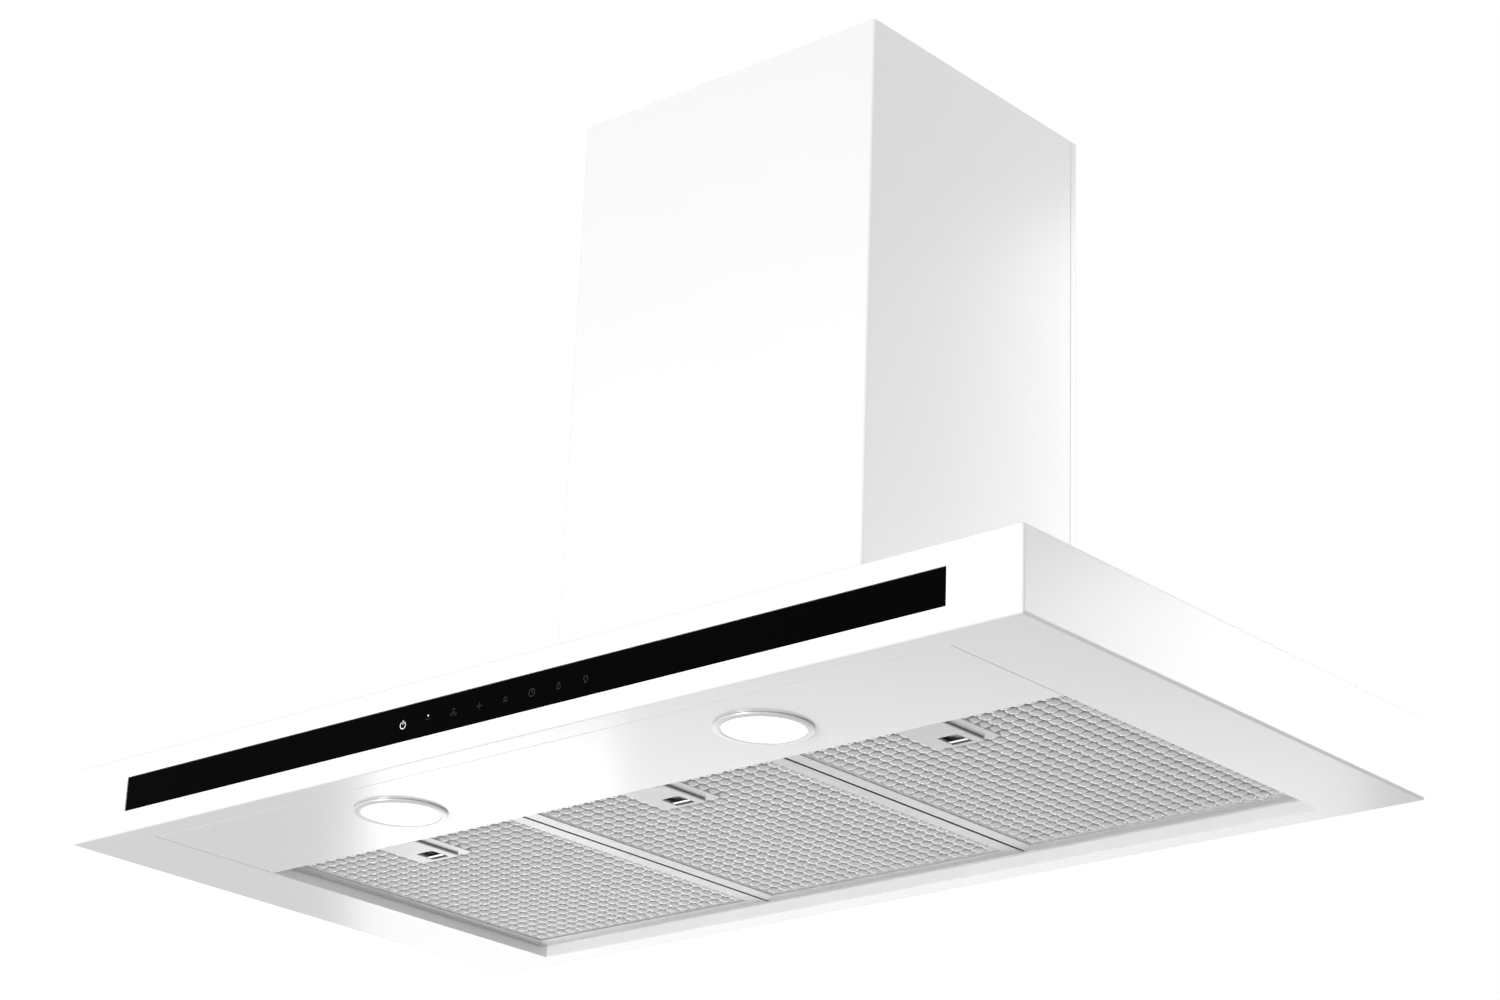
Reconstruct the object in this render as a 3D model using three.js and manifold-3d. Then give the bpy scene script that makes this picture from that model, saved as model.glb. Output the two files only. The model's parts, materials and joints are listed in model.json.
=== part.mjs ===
// Wall-mounted range hood: flat canopy, telescopic chimney covers, blower, lamps and mesh filters.
// Millimetres, +Z up. The wall is the plane y = 0, the front faces -Y, and the origin is the centre
// of the canopy's back face.
import * as THREE from "three";
import { mergeVertices } from "three/addons/utils/BufferGeometryUtils.js";
import Module from "manifold-3d";

const wasm = await Module();
wasm.setup();

// ---- Driving dimensions ----

// Canopy
const canopyWidth = 900;
const canopyDepth = 470;
const canopyHeight = 60;
const sheet = 1; // folded steel sheet
const gap = 0.3; // between pieces that touch
const sideRim = 72; // underside rim beside the filters
const endRim = 22; // underside rim along the front and the back
const lipHeight = 18; // lips turned up round the underside opening

// Lamp panel and lamps
const lampPanelDepth = 119;
const panelSeam = 0.5; // gap between the panel and the rim
const panelFlange = 10;
const lampSpacing = 348;
const lampFromFront = 81;
const lampHoleRadius = 31;
const bezelFlange = 3.5; // how far the bezel reaches past its hole
const bezelProud = 2.2;
const bezelChamfer = 1.2;
const bezelNeck = 8; // bezel above the panel's face
const bezelFit = 0.5; // neck to hole
const lensInset = 2.8; // lens edge to hole edge
const lensFit = 0.4; // lens to bezel
const lensProud = 1.6;
const lensSeat = 1.5; // lens above the panel's face
const lampCanHeight = 20;
const lampRibDepth = 4;

// Control strip
const stripMargin = 60; // canopy side to strip end
const stripHeight = 26;
const glassThickness = 4;
const windowGap = 0.4;
const touchBoardLength = 210;
const touchBoardDepth = 9;
const touchBoardInset = 2; // board edge to glass edge

// Filters
const filterCount = 3;
const filterGap = 2.6; // between neighbouring filters
const filterRecess = 7.5; // filter face above the rim's face
const filterThickness = 9;
const filterSheet = 1;
const filterBorder = 12;
const filterFrontGap = 1; // filter to lamp panel
const meshThickness = 1.6;
const tabLength = 7.4;
const tabWidth = 20;
const tabSpacing = 160;
const ledgeReach = 3.7;
const ledgeRise = 3; // ledge top above the filter face
const tabToLedge = 5; // filter's rear edge to the ledge's front edge

// Filter latches, measured back from the filter's front edge
const housingWidth = 55;
const housingDepth = 62;
const latchPlateWidth = 32;
const latchPlateThickness = 1.5;
const latchPlateStart = 12;
const latchPlateEnd = 60;
const fingerWindowWidth = 17;
const fingerWindowStart = 38;
const ridgeThickness = 3;
const ridgeStart = 49;
const latchTravel = 4;
const ridgeFit = 0.2; // ridge to its window at the end of its travel, and to the plate's face
const ridgeSideFit = 0.6;
const windowMargin = 2; // housing's window beyond the plate's
const sliderWidth = 20;
const pocketRoom = 2; // housing's pocket beyond the slider, each side
const sliderThickness = 3;
const sliderStart = 8;
const sliderRise = 2.2; // slider's underside above the filter face
const noseRise = 0.4; // nose above the slider's underside
const noseFit = 0.5; // nose to its slot and its keeper, above and below
const noseWidth = 16;
const noseThickness = 2;
const noseClearance = 0.5; // nose tip to the lamp panel's keeper
const springRadius = 2.2;

// Chimney covers
const chimneyWidth = 300;
const chimneyDepth = 262;
const lowerCoverHeight = 545;
const coverSheet = 1;
const coverClearance = 0.7; // upper cover inside the lower one
const returnFlange = 15;
const footFlange = 8;
const louvreCount = 6;
const louvreLength = 60;
const louvreWidth = 5;
const louvrePitch = 12;
const louvreFromTop = 60;
const bracketHeight = 25;
const bracketSheet = 2;
const bracketArm = 50;
const bracketArmHole = 2.2;
const bracketWallHole = 3;
const bracketFromTop = 6;

// Blower
const boxSideRoom = 11; // chimney cover to blower box, each side
const boxEndRoom = 17; // chimney cover to blower box, front and back
const boxHeight = 270;
const boxFlange = 7;
const boxScrewRadius = 1.5;
const airHoleMargin = 18; // blower box to the air hole in the canopy's top
const scrollWall = 2;
const scrollHalfDepth = 50;
const scrollRoom = 1.5; // scroll to blower box
const scrollFloor = 20; // scroll above the canopy's top
const throatWidth = 108;
const spiralGrowth = 24;
const impellerClearance = 6;
const impellerHalfDepth = 44;
const bladeRing = 12; // radial width of the blades
const bladeCount = 24;
const bladeThickness = 1.6;
const bladeSlant = THREE.MathUtils.degToRad(32);
const hubRadius = 12;
const hubHalfDepth = 10;
const shaftRadius = 4;
const motorRadius = 38;
const motorCapRadius = 42;
const motorCapLength = 8;
const motorFromDisc = 5; // motor bell to the wheel's middle plane
const shaftLength = 34; // behind the wheel's middle plane
const spiderThickness = 3;

// Outlet
const outletRadius = 75;
const outletWall = 1.5;
const outletHeight = 50;
const outletFlange = 9;
const seatReach = 8.5; // ledge under the flaps
const flapThickness = 1.2;
const flapGap = 1.5; // flap to spigot
const flapRise = 5; // flap pin above the spigot's foot
const flapPinRadius = 1.5;
const knuckleRadius = 3;
const knuckleLength = 14;

// Electrics
const controlBoxWidth = 56;
const controlBoxDepth = 170;
const controlBoxHeight = 38;
const controlBoxFromWall = 140;
const capacitorRadius = 14;
const capacitorLength = 62;
const driverWidth = 46;
const driverDepth = 120;
const driverHeight = 24;
const leadRadius = 2.5;
const glandInset = [26, 28]; // gland from the blower box's right and back walls
const glandBore = 3.5;
const glandThread = 7.5;
const glandNut = 11;
const glandCap = 8.5;
const boxWall = 2;
const lidThickness = 2;

// Wall hooks
const hookSpacing = 600;
const hookWidth = 40;
const hookHeight = 26;
const hookSheet = 2;
const hookWindowRoom = 2.5;
const hookLip = 6;
const hookHoleRadius = 2.6;
const hookHoleSpacing = 22;

// ---- Sizes that follow from them ----

const halfWidth = canopyWidth / 2;
const frontY = -canopyDepth;
const bottomZ = -canopyHeight / 2;
const topZ = canopyHeight / 2;
const openHalf = halfWidth - sideRim;
const openFrontY = frontY + endRim;
const openBackY = -endRim;
const panelBackY = openFrontY + panelSeam + lampPanelDepth;
const lampY = frontY + lampFromFront;
const lensRadius = lampHoleRadius - lensInset;
const stripHalf = halfWidth - stripMargin;

const filterPitch = (2 * openHalf) / filterCount;
const filterHalf = (filterPitch - filterGap) / 2;
const filterBottomZ = bottomZ + filterRecess;
const filterTopZ = filterBottomZ + filterThickness;
const filterFrontY = panelBackY + filterFrontGap;
const pivotY = openBackY - gap - ledgeReach;
const pivotZ = filterBottomZ + ledgeRise;
const filterBackY = pivotY - tabToLedge;
const sliderBottomZ = filterBottomZ + sliderRise;
const noseBottomZ = sliderBottomZ + noseRise;
const sliderEnd = ridgeStart + ridgeThickness;
const fingerWindowLength = sliderEnd + latchTravel + ridgeFit - fingerWindowStart;

const chimneyHalf = chimneyWidth / 2;
const lowerTopZ = topZ + gap + lowerCoverHeight;
const upperHalf = chimneyHalf - coverSheet - coverClearance;
const upperFrontY = -chimneyDepth + coverSheet + coverClearance;
const upperBackY = -coverSheet - coverClearance;
const upperBottomZ = topZ + 2 * gap + coverSheet;

const boxHalf = chimneyHalf - boxSideRoom;
const boxFrontY = -chimneyDepth + boxEndRoom;
const boxBackY = -boxEndRoom;
const boxBottomZ = topZ + gap;
const boxTopZ = boxBottomZ + boxHeight;
const ductY = (boxFrontY + boxBackY) / 2;

// The scroll fills the box from side to side: its throat lies on the left of its centre.
const scrollRoomHalf = boxHalf - sheet - scrollRoom - scrollWall;
const spiralEnd = (scrollRoomHalf + throatWidth / 2 + spiralGrowth / 2) / 2;
const spiralStart = spiralEnd - spiralGrowth;
const scrollX = spiralEnd - throatWidth / 2;
const scrollZ = topZ + scrollFloor + spiralEnd;
const scrollTopZ = boxTopZ - sheet - scrollRoom;
const impellerRadius = spiralStart - impellerClearance;
const inletRadius = impellerRadius - bladeRing;
const spiderY = ductY + scrollHalfDepth + gap;

const spigotZ = boxTopZ + gap;
const pinZ = spigotZ + flapRise;
const outletInner = outletRadius - outletWall;

// ---- Materials ----

function finish(color, roughness, metalness) {
  return new THREE.MeshStandardMaterial({ color, roughness, metalness });
}

const whitePaint = () => finish("#f4f4f4", 0.25, 0);
const blackGlass = () => finish("#050506", 0.06, 0);
const aluminium = () => finish("#bfc0c1", 0.4, 0.9);
const chrome = () => finish("#d4d6d8", 0.12, 1);
const lampWhite = () => finish("#ffffff", 0.5, 0);
const zincSteel = () => finish("#a9adb0", 0.45, 0.85);
const greyPlastic = () => finish("#5c6064", 0.55, 0);
const blackPlastic = () => finish("#1b1c1e", 0.5, 0);
const cableGrey = () => finish("#8d9093", 0.6, 0);

// ---- Solids ----

// A closed geometry as a solid that can be cut and joined.
function solidOf(geometry) {
  const bare = geometry.index ? geometry.toNonIndexed() : geometry.clone();
  bare.deleteAttribute("normal");
  bare.deleteAttribute("uv");
  const merged = mergeVertices(bare, 1e-4);
  const corners = merged.index.array;
  const kept = [];
  for (let i = 0; i < corners.length; i += 3) {
    const [a, b, c] = [corners[i], corners[i + 1], corners[i + 2]];
    if (a !== b && b !== c && c !== a) kept.push(a, b, c);
  }
  const vertProperties = merged.attributes.position.array;
  return new wasm.Manifold(new wasm.Mesh({ numProp: 3, vertProperties, triVerts: new Uint32Array(kept) }));
}

function geometryOf(solid) {
  const mesh = solid.getMesh();
  const geometry = new THREE.BufferGeometry();
  geometry.setAttribute("position", new THREE.BufferAttribute(new Float32Array(mesh.vertProperties), 3));
  geometry.setIndex(new THREE.BufferAttribute(new Uint32Array(mesh.triVerts), 1));
  const faceted = geometry.toNonIndexed();
  faceted.computeVertexNormals();
  return faceted;
}

// A box between two x, two y and two z values.
function block([x0, x1], [y0, y1], [z0, z1]) {
  const geometry = new THREE.BoxGeometry(x1 - x0, y1 - y0, z1 - z0);
  geometry.translate((x0 + x1) / 2, (y0 + y1) / 2, (z0 + z1) / 2);
  return solidOf(geometry);
}

// A cylinder along x, y or z, from one value to another, through a centre point.
function rod(axis, radius, [from, to], centre, segments = 24) {
  const geometry = new THREE.CylinderGeometry(radius, radius, to - from, segments);
  geometry.translate(0, (from + to) / 2, 0);
  if (axis === "x") geometry.rotateZ(-Math.PI / 2);
  if (axis === "z") geometry.rotateX(Math.PI / 2);
  geometry.translate(...centre);
  return solidOf(geometry);
}

// A turned solid about a vertical axis, from a closed profile of [radius, height] points.
function turned(profile, [x, y], segments = 32) {
  const points = profile.map(([r, z]) => new THREE.Vector2(r, z));
  if (THREE.ShapeUtils.area(points) < 0) points.reverse();
  points.push(points[0].clone());
  const geometry = new THREE.LatheGeometry(points, segments);
  geometry.rotateX(Math.PI / 2);
  geometry.translate(x, y, 0);
  return solidOf(geometry);
}

// A shape drawn in x and y, raised between two heights.
function raised(shape, [z0, z1], curveSegments = 12) {
  const geometry = new THREE.ExtrudeGeometry(shape, { depth: z1 - z0, bevelEnabled: false, curveSegments });
  geometry.translate(0, 0, z0);
  return solidOf(geometry);
}

// A shape drawn in x and z, drawn out between two y values.
function drawnBack(shape, [y0, y1], curveSegments = 12) {
  const geometry = new THREE.ExtrudeGeometry(shape, { depth: y1 - y0, bevelEnabled: false, curveSegments });
  geometry.rotateX(Math.PI / 2);
  geometry.translate(0, y1, 0);
  return solidOf(geometry);
}

// A round lead along a smooth curve through points.
function lead(points, steps) {
  const path = new THREE.CatmullRomCurve3(points.map((p) => new THREE.Vector3(...p)), false, "centripetal");
  const section = new THREE.Shape();
  section.absarc(0, 0, leadRadius, 0, 2 * Math.PI, false);
  return new THREE.ExtrudeGeometry(section, { extrudePath: path, steps, curveSegments: 4 });
}

function joined(solids) {
  return solids.reduce((sum, next) => sum.add(next));
}

function cutFrom(solid, tools) {
  return tools.reduce((left, tool) => left.subtract(tool), solid);
}

const hood = new THREE.Group();

function place(name, shape, material, parent = hood) {
  const geometry = shape.isBufferGeometry ? shape : geometryOf(shape);
  const mesh = new THREE.Mesh(geometry, material);
  mesh.name = name;
  parent.add(mesh);
  return mesh;
}

// ---- Canopy ----

// The folded shell: five walls, a rim round the underside opening, and lips on three of its sides.
function canopyShell() {
  const outer = block([-halfWidth, halfWidth], [frontY, 0], [bottomZ, topZ]);
  const inside = block(
    [-halfWidth + sheet, halfWidth - sheet],
    [frontY + sheet, -sheet],
    [bottomZ + sheet, topZ - sheet],
  );
  const opening = block([-openHalf, openHalf], [openFrontY, openBackY], [bottomZ - 1, bottomZ + sheet + 1]);
  const lipTop = bottomZ + lipHeight;
  const lips = [
    block([-openHalf - sheet, -openHalf], [openFrontY, openBackY + sheet], [bottomZ, lipTop]),
    block([openHalf, openHalf + sheet], [openFrontY, openBackY + sheet], [bottomZ, lipTop]),
    block([-openHalf - sheet, openHalf + sheet], [openBackY, openBackY + sheet], [bottomZ, lipTop]),
  ];
  const stripWindow = block(
    [-stripHalf - windowGap, stripHalf + windowGap],
    [frontY - 1, frontY + sheet + 1],
    [-stripHeight / 2 - windowGap, stripHeight / 2 + windowGap],
  );
  const airHole = block(
    [-boxHalf + airHoleMargin, boxHalf - airHoleMargin],
    [boxFrontY + airHoleMargin, boxBackY - airHoleMargin],
    [topZ - sheet - 1, topZ + 1],
  );
  const hookWindows = [-1, 1].map((side) => {
    const half = hookWidth / 2 + hookWindowRoom;
    const x = (side * hookSpacing) / 2;
    const top = hookTopZ() + gap;
    return block([x - half, x + half], [-sheet - 1, 1], [top - hookHeight - 2 * hookWindowRoom, top]);
  });
  const screwHoles = boxScrewPlaces().map(([x, y]) => {
    return rod("z", boxScrewRadius + gap, [topZ - sheet - 1, topZ + 1], [x, y, 0], 10);
  });
  const folded = joined([outer.subtract(inside).subtract(opening), ...lips]);
  return cutFrom(folded, [stripWindow, airHole, ...hookWindows, ...screwHoles]);
}

// The insert in front of the filters: two lamp holes and a back flange with the latch keepers.
function lampPanel() {
  const half = openHalf - panelSeam;
  const front = openFrontY + panelSeam;
  const flangeTop = bottomZ + panelFlange;
  const keeperTop = bottomZ + lipHeight;
  const holes = lampPlaces().map(([x, y]) => {
    return rod("z", lampHoleRadius, [bottomZ - 1, bottomZ + sheet + 1], [x, y, 0], 32);
  });
  const keepers = filterPlaces().map((x) => {
    return block(
      [x - noseWidth / 2 - 2 * noseFit, x + noseWidth / 2 + 2 * noseFit],
      [panelBackY - sheet - 1, panelBackY + 1],
      [noseBottomZ - noseFit, noseBottomZ + noseThickness + noseFit],
    );
  });
  const folded = joined([
    block([-half, half], [front, panelBackY], [bottomZ, bottomZ + sheet]),
    block([-half, half], [front, front + sheet], [bottomZ, flangeTop]),
    block([-half, -half + sheet], [front, panelBackY], [bottomZ, flangeTop]),
    block([half - sheet, half], [front, panelBackY], [bottomZ, flangeTop]),
    block([-half, half], [panelBackY - sheet, panelBackY], [bottomZ, keeperTop]),
  ]);
  return cutFrom(folded, [...holes, ...keepers]);
}

// The angle behind the filters: their tabs stand on its ledge.
function rearRail() {
  const half = openHalf - 1;
  const back = openBackY - gap;
  return joined([
    block([-half, half], [back - sheet, back], [pivotZ - sheet, bottomZ + lipHeight]),
    block([-half, half], [pivotY, back], [pivotZ - sheet, pivotZ]),
  ]);
}

function controlStrip() {
  const high = stripHeight / 2;
  return block([-stripHalf, stripHalf], [frontY, frontY + glassThickness], [-high, high]);
}

function touchBoard() {
  const y = frontY + glassThickness + gap;
  const half = touchBoardLength / 2;
  const high = stripHeight / 2 - touchBoardInset;
  return block([-half, half], [y, y + touchBoardDepth], [-high, high]);
}

// ---- Lamps ----

function lampPlaces() {
  return [-1, 1].map((side) => [(side * lampSpacing) / 2, lampY]);
}

function lampBezel(at) {
  const neck = lampHoleRadius - bezelFit;
  const bore = lensRadius + lensFit;
  const under = bottomZ - gap;
  const face = under - bezelProud;
  const profile = [
    [bore, face],
    [lampHoleRadius + bezelFlange - bezelChamfer, face],
    [lampHoleRadius + bezelFlange, under],
    [neck, under],
    [neck, bottomZ + bezelNeck],
    [bore, bottomZ + bezelNeck],
  ];
  return turned(profile, at);
}

function lampLens(at) {
  const profile = [
    [0, bottomZ - lensProud],
    [lensRadius - 1.5, bottomZ - lensProud],
    [lensRadius, bottomZ - lensProud + 1],
    [lensRadius, bottomZ + lensSeat],
    [0, bottomZ + lensSeat],
  ];
  return turned(profile, at);
}

// The sealed can over the lens, with cooling ribs round it.
function lampCan(at) {
  const base = bottomZ + lensSeat + gap;
  const step = lampCanHeight / 7;
  const grooveRadius = lensRadius - lampRibDepth;
  const profile = [[0, base]];
  for (let rib = 0; rib < 4; rib += 1) {
    const z = base + 2 * rib * step;
    profile.push([lensRadius, z], [lensRadius, z + step]);
    if (rib < 3) profile.push([grooveRadius, z + step], [grooveRadius, z + 2 * step]);
  }
  profile.push([0, base + lampCanHeight]);
  return turned(profile, at, 24);
}

// ---- Filters ----

function filterPlaces() {
  return Array.from({ length: filterCount }, (_, i) => (i - (filterCount - 1) / 2) * filterPitch);
}

// Folded channel frame with its latch housing and two rear tabs, about x = 0.
function filterFrame() {
  const z = [filterBottomZ, filterTopZ];
  const inner = [filterBottomZ + filterSheet, filterTopZ - filterSheet];
  const housingBack = filterFrontY + housingDepth;
  const half = housingWidth / 2;
  const ring = cutFrom(block([-filterHalf, filterHalf], [filterFrontY, filterBackY], z), [
    block(
      [-filterHalf + filterBorder, filterHalf - filterBorder],
      [filterFrontY + filterBorder, filterBackY - filterBorder],
      [filterBottomZ - 1, filterTopZ + 1],
    ),
    block(
      [-filterHalf + filterSheet, filterHalf - filterSheet],
      [filterFrontY + filterSheet, filterBackY - filterSheet],
      inner,
    ),
  ]);
  const housing = block([-half, half], [filterFrontY, housingBack], z);
  const pocket = block(
    [-sliderWidth / 2 - pocketRoom, sliderWidth / 2 + pocketRoom],
    [filterFrontY + filterSheet, housingBack - filterSheet],
    inner,
  );
  const skinWindow = block(
    [-fingerWindowWidth / 2 - windowMargin, fingerWindowWidth / 2 + windowMargin],
    [
      filterFrontY + fingerWindowStart - windowMargin,
      filterFrontY + fingerWindowStart + fingerWindowLength + windowMargin,
    ],
    [filterBottomZ - 1, filterBottomZ + filterSheet + 1],
  );
  const noseSlot = block(
    [-noseWidth / 2 - noseFit, noseWidth / 2 + noseFit],
    [filterFrontY - 1, filterFrontY + filterSheet + 1],
    [noseBottomZ - noseFit, noseBottomZ + noseThickness + noseFit],
  );
  const tabs = [-1, 1].map((side) => {
    const x = (side * tabSpacing) / 2;
    return block(
      [x - tabWidth / 2, x + tabWidth / 2],
      [filterBackY - filterSheet / 2, filterBackY + tabLength],
      [pivotZ + gap, pivotZ + gap + filterSheet],
    );
  });
  return joined([cutFrom(ring.add(housing), [pocket, skinWindow, noseSlot]), ...tabs]);
}

// The mesh pack's support layer: it fills the frame's channel and goes round the latch housing.
function filterMesh() {
  const edge = filterSheet + gap;
  const middle = (filterBottomZ + filterTopZ) / 2;
  const z = [middle - meshThickness / 2, middle + meshThickness / 2];
  const pack = block([-filterHalf + edge, filterHalf - edge], [filterFrontY + edge, filterBackY - edge], z);
  const half = housingWidth / 2 + gap;
  const notch = block(
    [-half, half],
    [filterFrontY - 1, filterFrontY + housingDepth + gap],
    [filterBottomZ, filterTopZ],
  );
  return pack.subtract(notch);
}

// The cover plate over the slider, with the finger window.
function latchPlate() {
  const top = filterBottomZ - gap;
  const bottom = top - latchPlateThickness;
  const windowY = filterFrontY + fingerWindowStart;
  const plate = block(
    [-latchPlateWidth / 2, latchPlateWidth / 2],
    [filterFrontY + latchPlateStart, filterFrontY + latchPlateEnd],
    [bottom, top],
  );
  const fingerWindow = block(
    [-fingerWindowWidth / 2, fingerWindowWidth / 2],
    [windowY, windowY + fingerWindowLength],
    [bottom - 1, top + 1],
  );
  return plate.subtract(fingerWindow);
}

// The sliding bolt: a flat body, a nose at the front and a finger ridge that stands in the window.
function latchSlider() {
  const ridgeY = filterFrontY + ridgeStart;
  const ridgeBottom = filterBottomZ - gap - latchPlateThickness + ridgeFit;
  return joined([
    block(
      [-sliderWidth / 2, sliderWidth / 2],
      [filterFrontY + sliderStart, filterFrontY + sliderEnd],
      [sliderBottomZ, sliderBottomZ + sliderThickness],
    ),
    block(
      [-noseWidth / 2, noseWidth / 2],
      [panelBackY + noseClearance, filterFrontY + sliderStart + 1],
      [noseBottomZ, noseBottomZ + noseThickness],
    ),
    block(
      [-fingerWindowWidth / 2 + ridgeSideFit, fingerWindowWidth / 2 - ridgeSideFit],
      [ridgeY, ridgeY + ridgeThickness],
      [ridgeBottom, sliderBottomZ + 1],
    ),
  ]);
}

// The spring between the slider's back end and the housing.
function latchSpring() {
  const from = filterFrontY + sliderEnd + gap;
  const to = filterFrontY + housingDepth - filterSheet - gap;
  const z = sliderBottomZ + sliderThickness / 2 + 0.3;
  return rod("y", springRadius, [from, to], [0, 0, z], 12);
}

function filterAssembly(x, side) {
  const assembly = new THREE.Group();
  assembly.position.x = x;
  place("filter_frame_" + side, filterFrame(), aluminium(), assembly);
  place("filter_mesh_" + side, filterMesh(), aluminium(), assembly);
  place("latch_plate_" + side, latchPlate(), aluminium(), assembly);
  place("latch_slider_" + side, latchSlider(), chrome(), assembly);
  place("latch_spring_" + side, latchSpring(), zincSteel(), assembly);
  return assembly;
}

// ---- Chimney covers ----

// A cover folded to a U round the duct, open to the wall, with a return flange down each back edge.
function cover(half, frontFace, backFace, [z0, z1]) {
  const flangeInner = half - returnFlange;
  return cutFrom(block([-half, half], [frontFace, backFace], [z0, z1]), [
    block(
      [-half + coverSheet, half - coverSheet],
      [frontFace + coverSheet, backFace - coverSheet],
      [z0 - 1, z1 + 1],
    ),
    block([-flangeInner, flangeInner], [backFace - coverSheet - 1, backFace + 1], [z0 - 1, z1 + 1]),
  ]);
}

function lowerCover() {
  const z0 = topZ + gap;
  const feet = [-1, 1].map((side) => {
    const edges = [side * (chimneyHalf - footFlange), side * (chimneyHalf - coverSheet / 2)];
    const [x0, x1] = edges.sort((a, b) => a - b);
    return block([x0, x1], [-chimneyDepth + coverSheet / 2, -coverSheet / 2], [z0, z0 + coverSheet]);
  });
  return joined([cover(chimneyHalf, -chimneyDepth, 0, [z0, lowerTopZ]), ...feet]);
}

function upperCover() {
  const middleY = -chimneyDepth / 2;
  const slots = Array.from({ length: louvreCount }, (_, i) => {
    const z = lowerTopZ - gap - louvreFromTop - i * louvrePitch;
    return block(
      [-upperHalf - 1, upperHalf + 1],
      [middleY - louvreLength / 2, middleY + louvreLength / 2],
      [z - louvreWidth, z],
    );
  });
  return cutFrom(cover(upperHalf, upperFrontY, upperBackY, [upperBottomZ, lowerTopZ - gap]), slots);
}

// The strap that holds the raised upper cover: flat on the wall, with an arm along each side wall.
function ceilingBracket() {
  const armX = upperHalf - coverSheet - gap;
  const wallHalf = upperHalf - returnFlange - 3;
  const stepY = upperBackY - coverSheet - 4;
  const t = bracketSheet;
  const outline = [
    [-wallHalf, 0],
    [wallHalf, 0],
    [wallHalf, stepY],
    [armX, stepY],
    [armX, stepY - bracketArm],
    [armX - t, stepY - bracketArm],
    [armX - t, stepY - t],
    [wallHalf - t, stepY - t],
    [wallHalf - t, -t],
    [-wallHalf + t, -t],
    [-wallHalf + t, stepY - t],
    [-armX + t, stepY - t],
    [-armX + t, stepY - bracketArm],
    [-armX, stepY - bracketArm],
    [-armX, stepY],
    [-wallHalf, stepY],
  ];
  const shape = new THREE.Shape(outline.map(([x, y]) => new THREE.Vector2(x, y)));
  const top = lowerTopZ - bracketFromTop;
  const screwZ = top - bracketHeight / 2;
  const armHoles = rod("x", bracketArmHole, [-armX - 1, armX + 1], [0, stepY - bracketArm + 10, screwZ], 16);
  const wallHoles = [-1, 1].map((side) => {
    return rod("y", bracketWallHole, [-t - 1, 1], [side * (wallHalf - 20), 0, screwZ], 16);
  });
  return cutFrom(raised(shape, [top - bracketHeight, top]), [armHoles, ...wallHoles]);
}

// ---- Blower ----

function boxScrewPlaces() {
  const x = boxHalf - 20;
  const reach = boxFlange / 2;
  return [
    [-x, boxFrontY - reach],
    [x, boxFrontY - reach],
    [-x, boxBackY + reach],
    [x, boxBackY + reach],
  ];
}

function glandPlace() {
  return [boxHalf - glandInset[0], boxBackY - glandInset[1]];
}

function blowerBox() {
  const holes = boxScrewPlaces().map(([x, y]) => {
    return rod("z", boxScrewRadius + gap, [boxBottomZ - 1, boxBottomZ + sheet + 1], [x, y, 0], 10);
  });
  const [glandX, glandY] = glandPlace();
  const walls = joined([
    block([-boxHalf, boxHalf], [boxFrontY, boxBackY], [boxBottomZ, boxTopZ]),
    block(
      [-boxHalf, boxHalf],
      [boxFrontY - boxFlange, boxBackY + boxFlange],
      [boxBottomZ, boxBottomZ + sheet],
    ),
  ]);
  return cutFrom(walls, [
    block(
      [-boxHalf + sheet, boxHalf - sheet],
      [boxFrontY + sheet, boxBackY - sheet],
      [boxBottomZ - 1, boxTopZ - sheet],
    ),
    rod("z", outletInner - seatReach, [boxTopZ - sheet - 1, boxTopZ + 1], [0, ductY, 0], 32),
    rod("z", glandThread + gap, [boxTopZ - sheet - 1, boxTopZ + 1], [glandX, glandY, 0], 24),
    ...holes,
  ]);
}

function boxScrew([x, y]) {
  const seat = boxBottomZ + sheet + gap;
  return joined([
    rod("z", 2 * boxScrewRadius, [seat, seat + 2], [x, y, 0], 10),
    rod("z", boxScrewRadius, [topZ - 8, seat + 1], [x, y, 0], 10),
  ]);
}

// The scroll's outline in x and z: a growing spiral that runs into a straight throat on its left.
function scrollOutline(wall) {
  const throatRight = scrollX - spiralEnd + throatWidth;
  const tongue = Math.acos((throatRight - scrollX) / spiralStart);
  const start = Math.acos((throatRight + wall - scrollX) / (spiralStart + wall));
  const steps = 20;
  const shape = new THREE.Shape();
  shape.moveTo(scrollX - spiralEnd - wall, scrollTopZ + (wall ? 0 : 1));
  for (let i = 0; i <= steps; i += 1) {
    const angle = -Math.PI + (i / steps) * (start + Math.PI);
    const share = Math.min(1, Math.max(0, (tongue - angle) / (tongue + Math.PI)));
    const radius = spiralStart + spiralGrowth * share + wall;
    shape.lineTo(scrollX + radius * Math.cos(angle), scrollZ + radius * Math.sin(angle));
  }
  shape.lineTo(throatRight + wall, scrollTopZ + (wall ? 0 : 1));
  return shape;
}

// One half of the scroll casing, on the front (-1) or rear (1) side of its middle plane.
function scrollHalf(side) {
  const span = (a, b) => [ductY + side * a, ductY + side * b].sort((p, q) => p - q);
  const body = drawnBack(scrollOutline(scrollWall), span(gap / 2, scrollHalfDepth));
  const hollow = drawnBack(scrollOutline(0), span(-1, scrollHalfDepth - scrollWall));
  const inlet = rod("y", inletRadius, span(0, scrollHalfDepth + 1), [scrollX, 0, scrollZ], 32);
  return cutFrom(body, [hollow, inlet]);
}

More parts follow.
